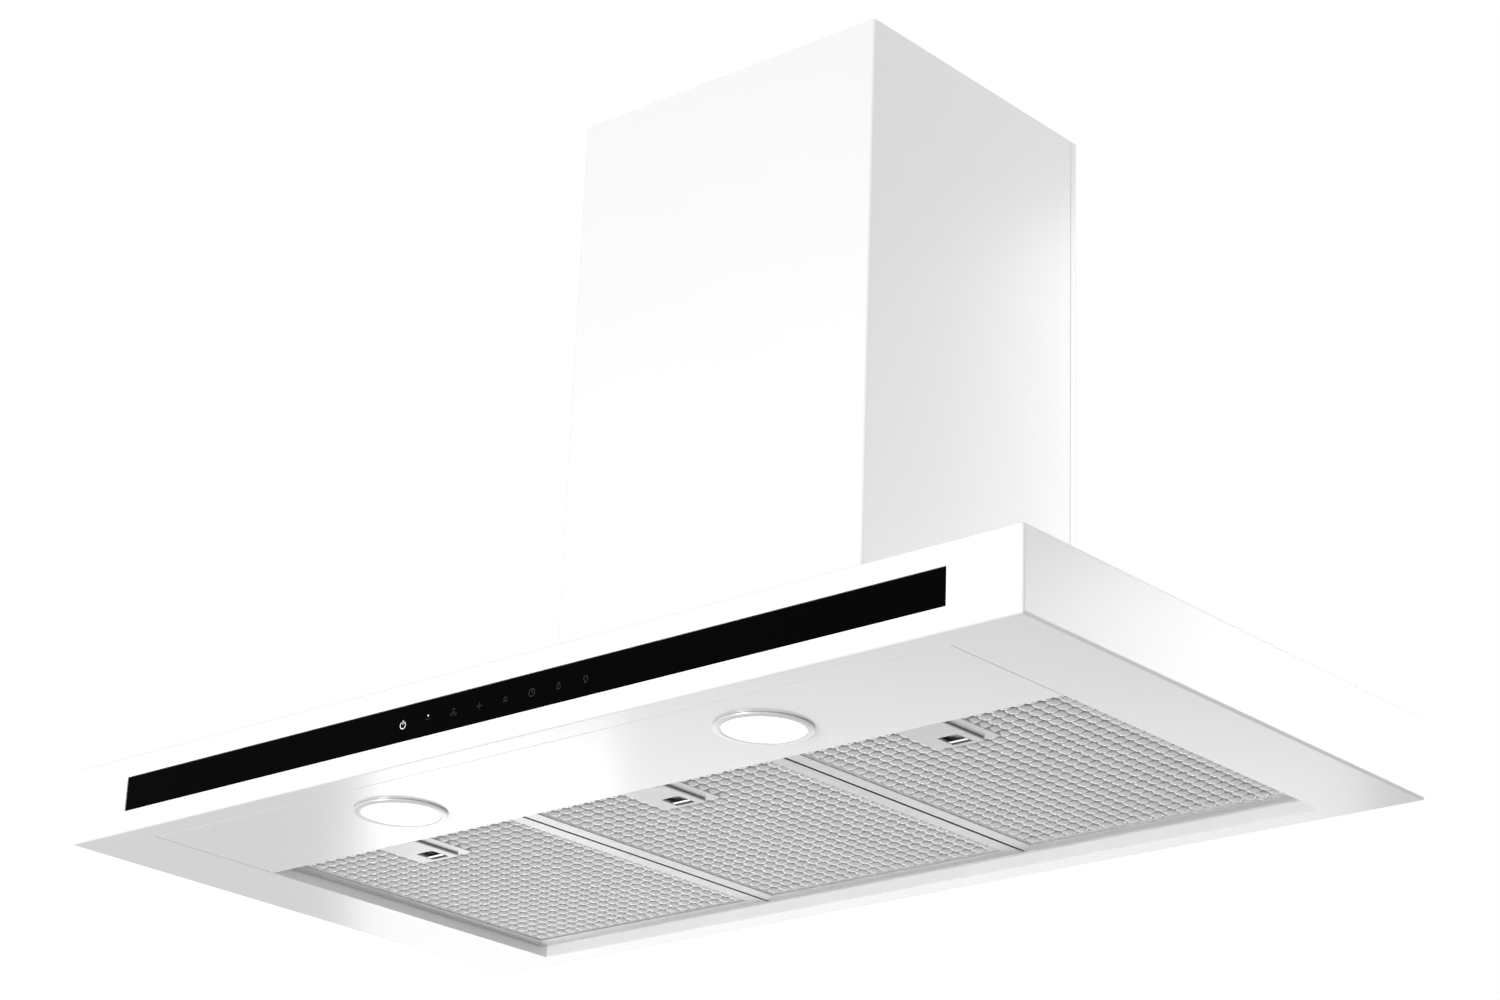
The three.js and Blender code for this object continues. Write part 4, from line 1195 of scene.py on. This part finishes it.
screwSettings = {"headRadius": 3.0 * mm, "headHeight": 2.0 * mm, "shankRadius": 1.5 * mm, "recess": 0.75 * mm}


# A pan-head screw pointing down: a domed head with a cross recess on a plain shank.
def screwHead(s, length):
    profile = [(0, s["headHeight"])]
    for n in range(1, 7):
        a = math.radians(15 * n)
        profile.append((s["headRadius"] * math.sin(a), s["headHeight"] * (0.45 + 0.55 * math.cos(a))))
    profile += [
        (s["headRadius"], 0),
        (s["shankRadius"], 0),
        (s["shankRadius"], -length + mm),
        (0.3 * mm, -length),
        (0, -length),
    ]
    head = meshOf("head", turnInto(bmesh.new(), profile, (0, 0, 0), "Z", 28, False))
    cross = bmesh.new()
    arm, half = s["headRadius"] * 0.55, 0.38 * mm
    base = s["headHeight"] - s["recess"]
    blockInto(cross, (-arm, -half, base), (arm, half, s["headHeight"] + mm))
    bars = meshOf("bar", cross)
    second = bmesh.new()
    blockInto(second, (-half, -arm, base), (half, arm, s["headHeight"] + mm))
    return carved(carved(head, bars), meshOf("bar", second))


# Copies of one small mesh at given places, each turned a little differently.
def scatterPattern():
    p = Pattern("scatter", {"Turn": 1.0, "Seed": 3, "Material": None})
    for label, kind in (("Shape", "NodeSocketObject"), ("Places", "NodeSocketObject")):
        p.declare(label, kind)
    shape = p.add("GeometryNodeObjectInfo", None, {"Object": p.given("Shape")}, 4)
    places = p.add("GeometryNodeObjectInfo", None, {"Object": p.given("Places")}, 4)
    turn = p.add(
        "FunctionNodeRandomValue",
        {"data_type": "FLOAT"},
        {2: 0.0, 3: p.given("Turn"), "Seed": p.given("Seed")},
        1,
    )
    copies = p.onPoints(places, shape, turn=p.combined(0.0, 0.0, turn))
    return p.finish(copies)


def scattered(name, shape, places, material, turn=1.0):
    dots = bpy.data.meshes.new("dots")
    dots.from_pydata([tuple(p) for p in places], [], [])
    tools = [bpy.data.objects.new("shape", shape), bpy.data.objects.new("places", dots)]
    mesh = scatter.grow(name, Turn=turn, Material=material, Shape=tools[0], Places=tools[1])
    for tool in tools:
        bpy.data.objects.remove(tool)
    return mesh


scatter = scatterPattern()

fanSettings = {
    "blades": 36,
    "ring": 12 * mm,
    "bladeSheet": 0.9 * mm,
    "hub": 12 * mm,
    "hubHalf": 10 * mm,
    "bore": 4.3 * mm,
}


# A squirrel-cage wheel: end rings, a middle disc with its hub, and thin curved blades.
def makeWheel(s):
    low, high, middle = sizeOf("impeller")
    radius = (high.x - low.x) / 2
    inner = radius - s["ring"]
    bm = bmesh.new()
    for y0, y1 in ((low.y, low.y + 2 * mm), (high.y - 2 * mm, high.y)):
        e = 0.4 * mm
        profile = [(inner, y0 + e), (inner + e, y0), (radius - e, y0), (radius, y0 + e)]
        profile += [(radius, y1 - e), (radius - e, y1), (inner + e, y1), (inner, y1 - e)]
        turnInto(bm, profile, (middle.x, 0, middle.z), "Y", 96)
    disc = [
        (s["bore"], middle.y + mm), (radius - 1.4 * mm, middle.y + mm), (radius - 1.4 * mm, middle.y - mm)
    ]
    disc += [
        (s["hub"] + 3 * mm, middle.y - mm),
        (s["hub"], middle.y - 3 * mm),
        (s["hub"] - 0.8 * mm, middle.y - s["hubHalf"]),
    ]
    disc += [(s["bore"], middle.y - s["hubHalf"])]
    turnInto(bm, disc, (middle.x, 0, middle.z), "Y", 96)
    for n in range(s["blades"]):
        angle = tau * n / s["blades"]
        rows = []
        for k in range(7):
            share = k / 6
            r = inner + 0.5 * mm + (s["ring"] - 1 * mm) * share
            bend = angle + 0.11 * (share - 1) ** 2
            for t in (-1, 1):
                a = bend + t * s["bladeSheet"] / 2 / r
                spot = (middle.x + r * math.cos(a), middle.z + r * math.sin(a))
                rows.append(spot)
        outline = rows[0::2] + rows[1::2][::-1]
        drawnInto(bm, outline, (low.y + 1 * mm, high.y - 1 * mm), "Y")
    addPiece("impellerWheel", meshOf("wheel", bm), blackPlastic, ["impeller"], body="fan_wheel")


def makeMotor():
    low, high, middle = sizeOf("motor")
    bell, cap, bore, e = 38 * mm, (high.x - low.x) / 2, 4.3 * mm, 1.5 * mm
    rear = sizeOf("motor_spider")[1].y + 0.3 * mm
    profile = [(bore, low.y), (14 * mm, low.y), (15 * mm, low.y + mm), (bell - 6 * mm, low.y + 2 * mm)]
    for n in range(5):
        a = math.radians(90 * n / 4)
        profile.append((bell - 3 * mm * (1 - math.sin(a)), low.y + 2 * mm + 3 * mm * (1 - math.cos(a))))
    profile += [(bell, rear), (cap - e, rear), (cap, rear + e), (cap, high.y - e), (cap - e, high.y)]
    profile += [(22 * mm, high.y), (20 * mm, high.y - 2 * mm), (bore, high.y - 2 * mm)]
    mesh = turnedMesh(profile, (middle.x, 0, middle.z), "Y", 96)
    addPiece("motor", mesh, zinc, ["motor"])
    low, high, middle = sizeOf("motor_shaft")
    shaft = softPlug((high.x - low.x) / 2, low.y, high.y, 0.5 * mm)
    mesh = turnedMesh(shaft, (middle.x, 0, middle.z), "Y", 48)
    addPiece("motorShaft", mesh, zinc, ["motor_shaft"], body="fan_wheel")


makeWheel(fanSettings)
makeMotor()

outletSettings = {
    "wall": 1.5 * mm,
    "flange": 9 * mm,
    "seat": 8.5 * mm,
    "bead": 1.0 * mm,
    "pin": 1.5 * mm,
    "pinHole": 1.8 * mm,
    "edge": 0.3 * mm,  # taken off the ends of the pin and the knuckles
    "knuckle": 3 * mm,
    "knuckleHalf": 7 * mm,
    "knuckleAt": {"front": 44 * mm, "rear": 24 * mm},
    "flapSheet": 1.2 * mm,
    "flapGap": 1.5 * mm,
    "rib": 2.2 * mm,
    "ribWidth": 1.6 * mm,
    "ribFromPin": 12 * mm,  # keeps the two opened flaps clear of each other
}


def makeOutlet(s):
    low, high, middle = sizeOf("outlet_spigot")
    outer = (high.x - low.x) / 2 - s["flange"]
    inner, foot = outer - s["wall"], low.z + s["wall"]
    bead = high.z - 9 * mm
    profile = [
        (inner - s["seat"], low.z),
        (outer + s["flange"] - 0.4 * mm, low.z),
        (outer + s["flange"], low.z + 0.4 * mm),
    ]
    profile += [
        (outer + s["flange"], foot - 0.3 * mm),
        (outer + s["flange"] - 0.3 * mm, foot),
        (outer + 1.5 * mm, foot),
    ]
    profile += [(outer + 0.4 * mm, foot + 0.4 * mm), (outer, foot + 1.5 * mm)]
    for n in range(7):
        a = math.radians(-90 + 30 * n)
        profile.append((outer + s["bead"] * math.cos(a), bead + 1.6 * mm * math.sin(a)))
    profile += [
        (outer, high.z - 0.4 * mm),
        (outer - 0.4 * mm, high.z),
        (inner + 0.4 * mm, high.z),
        (inner, high.z - 0.4 * mm),
    ]
    profile += [(inner, foot), (inner - s["seat"], foot)]
    tube = turnedMesh(profile, (middle.x, middle.y, 0), "Z", 144)
    pinLow, pinHigh, pin = sizeOf("flap_pin")
    hole = turnedMesh(plug(s["pinHole"], pinLow.x - mm, pinHigh.x + mm), (0, pin.y, pin.z), "X", 24)
    addPiece("outletSpigot", carved(tube, hole), greyPlastic, ["outlet_spigot"])
    mesh = turnedMesh(softPlug(s["pin"], pinLow.x, pinHigh.x, s["edge"]), (0, pin.y, pin.z), "X", 32)
    addPiece("flapPin", mesh, zinc, ["flap_pin"])
    for side, direction in (("front", -1), ("rear", 1)):
        makeFlap(side, direction, s["knuckleAt"][side], pin, inner - s["flapGap"], s)


# A half disc with a stiffening rib round its rim and two knuckles on the pin.
def makeFlap(side, direction, knuckleX, pin, radius, s):
    half = s["flapSheet"] / 2
    edge = s["knuckle"] + mm
    start = math.asin(edge / radius)

    def rim(r, first):
        angles = [first + (math.pi - 2 * first) * n / 64 for n in range(65)]
        return [(r * math.cos(a), pin.y + direction * r * math.sin(a)) for a in angles]

    disc = drawnMesh(rim(radius, start), (pin.z - half, pin.z + half))
    ribInner = radius - s["ribWidth"]
    ribStart = math.asin(s["ribFromPin"] / radius)
    rib = drawnMesh(rim(radius, ribStart) + rim(ribInner, ribStart)[::-1], (pin.z, pin.z + s["rib"]))
    flap = carved(disc, rib, "UNION")
    for end in (-1, 1):
        x0, x1 = sorted((end * knuckleX - s["knuckleHalf"], end * knuckleX + s["knuckleHalf"]))
        barrel = turnedMesh(softPlug(s["knuckle"], x0, x1, s["edge"]), (0, pin.y, pin.z), "X", 40)
        flap = carved(flap, barrel, "UNION")
        y0, y1 = sorted((pin.y + direction * 0.5 * mm, pin.y + direction * (edge + mm)))
        web = blockMesh((x0 + 0.2 * mm, y0, pin.z - half), (x1 - 0.2 * mm, y1, pin.z + half))
        flap = carved(flap, web, "UNION")
    bore = turnedMesh(plug(s["pinHole"], -radius, radius), (0, pin.y, pin.z), "X", 32)
    flap = carved(flap, bore)
    addPiece(side + "Flap", flap, blackPlastic, ["flap_" + side], body=side + "_flap")


makeOutlet(outletSettings)
print("outlet made")


def makeBlowerBox():
    plainPiece("blowerBox", "blower_box", zinc, 0.35 * mm)
    spots = boxScrewSpots()
    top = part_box("box_screw_1")[1].z - screwSettings["headHeight"]
    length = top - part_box("box_screw_1")[0].z
    places = [(p.x, p.y, top) for p in spots]
    nodes = ["box_screw_" + str(i) for i in (1, 2, 3, 4)]
    mesh = scattered("boxScrews", screwHead(screwSettings, length), places, zinc)
    addPiece("boxScrews", mesh, zinc, nodes, weighted=False)
    rivet = [(0, 0.9 * mm), (0.8 * mm, 0.8 * mm), (1.5 * mm, 0.45 * mm), (1.8 * mm, 0), (0, 0)]
    head = meshOf("rivet", turnInto(bmesh.new(), rivet, (0, 0, 0), "Z", 16, False))
    low, high = boxLow, boxHigh
    inset = 12 * mm
    xs = [low.x + inset + n * (high.x - low.x - 2 * inset) / 5 for n in range(6)]
    places = [(x, y, high.z) for x in xs for y in (low.y + 7 * mm + 6 * mm, high.y - 7 * mm - 6 * mm)]
    mesh = scattered("boxRivets", head, places, zinc)
    addPiece("boxRivets", mesh, zinc, weighted=False)


makeBlowerBox()
for half in ("front", "rear"):
    plainPiece("scroll" + half.title(), "scroll_" + half, greyPlastic, 0.3 * mm)
plainPiece("motorSpider", "motor_spider", zinc, 0.3 * mm)
print("blower made")


def makeElectrics():
    boxes = [
        ("controlBox", "control_box", greyPlastic, 0.8),
        ("controlBoxLid", "control_box_lid", greyPlastic, 0.6),
        ("ledDriver", "led_driver", blackPlastic, 1.5),
    ]
    for name, node, material, edge in boxes:
        plainPiece(name, node, material, edge * mm)
    low, high, middle = sizeOf("capacitor")
    r = (high.x - low.x) / 2
    can = [
        (0, low.y),
        (r - 1.5 * mm, low.y),
        (r, low.y + 1.5 * mm),
        (r, high.y - 4 * mm),
        (r - mm, high.y - 3.5 * mm),
    ]
    can += [(r - mm, high.y - 3 * mm), (r, high.y - 2.5 * mm), (r, high.y - 0.5 * mm), (r - 0.5 * mm, high.y)]
    can += [(r - 2 * mm, high.y), (r - 2.4 * mm, high.y - 0.8 * mm), (0, high.y - 0.8 * mm)]
    mesh = turnedMesh(can, (middle.x, 0, middle.z), "Y", 64)
    addPiece("capacitor", mesh, greyPlastic, ["capacitor"])


# Cable gland: a thread through the box, a hexagon foot and a ribbed clamping cap.
def makeGland():
    low, high, middle = sizeOf("cable_gland")
    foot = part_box("blower_box")[1].z + 0.3 * mm
    at = (middle.x, middle.y, 0)
    bore, thread, cap = 3.5 * mm, 7.5 * mm, 8.5 * mm
    profile = [(bore, low.z), (thread - 0.5 * mm, low.z)]
    z = low.z + 0.5 * mm
    while z < foot - 1 * mm:
        profile += [(thread, z), (thread - 0.5 * mm, z + 0.5 * mm)]
        z += 1 * mm
    profile += [(thread - 0.5 * mm, foot + 4.6 * mm), (cap, foot + 5.2 * mm), (cap, high.z - 3 * mm)]
    for n in range(1, 5):
        a = math.radians(90 * n / 4)
        profile.append((cap - 3 * mm * (1 - math.cos(a)), high.z - 3 * mm + 3 * mm * math.sin(a)))
    profile += [(bore + 0.6 * mm, high.z), (bore, high.z - 0.6 * mm)]
    body = turnedMesh(profile, at, "Z", 60)
    hexagon = [
        (middle.x + 11 * mm * math.cos(tau * n / 6), middle.y + 11 * mm * math.sin(tau * n / 6))
        for n in range(6)
    ]
    nut = drawnMesh(hexagon, (foot, foot + 5 * mm))
    through = turnedMesh(plug(thread - mm, foot - mm, foot + 6 * mm), at, "Z", 60)
    whole = carved(body, carved(nut, through), "UNION")
    addPiece("cableGland", whole, blackPlastic, ["cable_gland"], bevel=0.3 * mm)


makeElectrics()
makeGland()

leadRoutes = {
    "lampLeadLeft": "lamp_lead_left",
    "lampLeadRight": "lamp_lead_right",
    "touchLead": "touch_lead",
    "motorLead": "motor_lead",
}
for pieceName, node in leadRoutes.items():
    lead = plainPiece(pieceName, node, sheath, weighted=False)
    lead.data.set_sharp_from_angle(angle=math.radians(80))
print("electrics made")

for hookSide in ("left", "right"):
    plainPiece("wallHook" + hookSide.title(), "wall_hook_" + hookSide, zinc, 0.4 * mm)

studioSettings = {
    "floor": -6.0,  # low enough for a look at the underside from any angle
    "reach": 152,
    "fade": 15.2,  # width over which the paper turns from its first grey to its second
    "paper": (0.52, 0.79),
    "world": 0.70,
    "lights": {
        "key": {"place": (-0.2, -2.8, -0.8), "size": (0.9, 0.9), "power": 42},
        "under": {
            "place": (-1.15, 1.32, -0.45), "size": (1.3, 0.6), "power": 2.4, "target": (-0.1, -0.1, -0.03)
        },
        "spot": {
            "place": (-0.76, 0.28, -0.34), "size": (0.24, 0.14), "power": 0.12, "target": (0.0, -0.4, -0.03)
        },
        "side": {"place": (1.05, 1.4, 0.45), "size": (1.3, 0.6), "power": 7.5, "target": (0.3, -0.2, 0.15)},
        "glow": {
            "place": (0.95, 1.4, 0.98), "size": (0.45, 0.6), "power": 2.6, "target": (0.15, -0.05, 0.35)
        },
    },
}


def softLight(name, place, size, power, target=(0, -0.25, 0.1)):
    lamp = bpy.data.lights.new(name, "AREA")
    lamp.shape = "RECTANGLE"
    lamp.size, lamp.size_y = size
    lamp.energy = power
    holder = bpy.data.objects.new(name, lamp)
    scene.collection.objects.link(holder)
    holder.location = place
    holder.visible_camera = False
    holder.rotation_euler = (Vector(target) - Vector(place)).to_track_quat("-Z", "Y").to_euler()


def makeStudio(s):
    floorMesh = bpy.data.meshes.new("floor")
    reach = s["reach"]
    floorMesh.from_pydata(
        [(-reach, -reach, 0), (reach, -reach, 0), (reach, reach, 0), (-reach, reach, 0)], [], [(0, 1, 2, 3)]
    )
    floorMesh.transform(Matrix.Translation((0, 0, s["floor"])))
    floor = bpy.data.objects.new("floor", floorMesh)
    scene.collection.objects.link(floor)
    paper = Finish("paperFloor", Emission_Strength=1.0)
    x, y, _ = paper.separated(paper.spot)
    # Painted shade and glow on the floor: near the hood the paper is darker on its front side than behind, to
    # darken what the hood reflects from there, and far out it glows white as the backdrop.
    far = paper.ramp((x**2 + y**2) ** 0.5 / s["reach"], (0.05, 0.0), (0.5, 1.0))
    behind = paper.ramp((y * 0.8 - x * 0.6) / s["fade"] + 0.5, (0.38, 0.0), (0.85, 1.0))
    near = paper.tint(behind, grey(s["paper"][0]), grey(s["paper"][1]))
    floorMesh.materials.append(
        paper.feed(
            Base_Color=paper.tint(far, near, grey(0.0)),
            Emission_Color=paper.tint(far, grey(0.0), grey(1.0)),
            Roughness=paper.span(paper.noise(30), 0.7, 0.8),
        )
    )
    world = bpy.data.worlds.new("studio")
    scene.world = world
    world.use_nodes = True
    sky = Sheet(world.node_tree)
    background = world.node_tree.nodes["Background"]
    background.inputs["Color"].default_value = (1, 1, 1, 1)
    seen = sky.add("ShaderNodeLightPath")
    sky.connect(seen * (1.0 - s["world"]) + s["world"], background.inputs["Strength"])
    for name, light in s["lights"].items():
        softLight(name, **light)
    scene.view_settings.view_transform = "Standard"


makeStudio(studioSettings)
print("studio made")
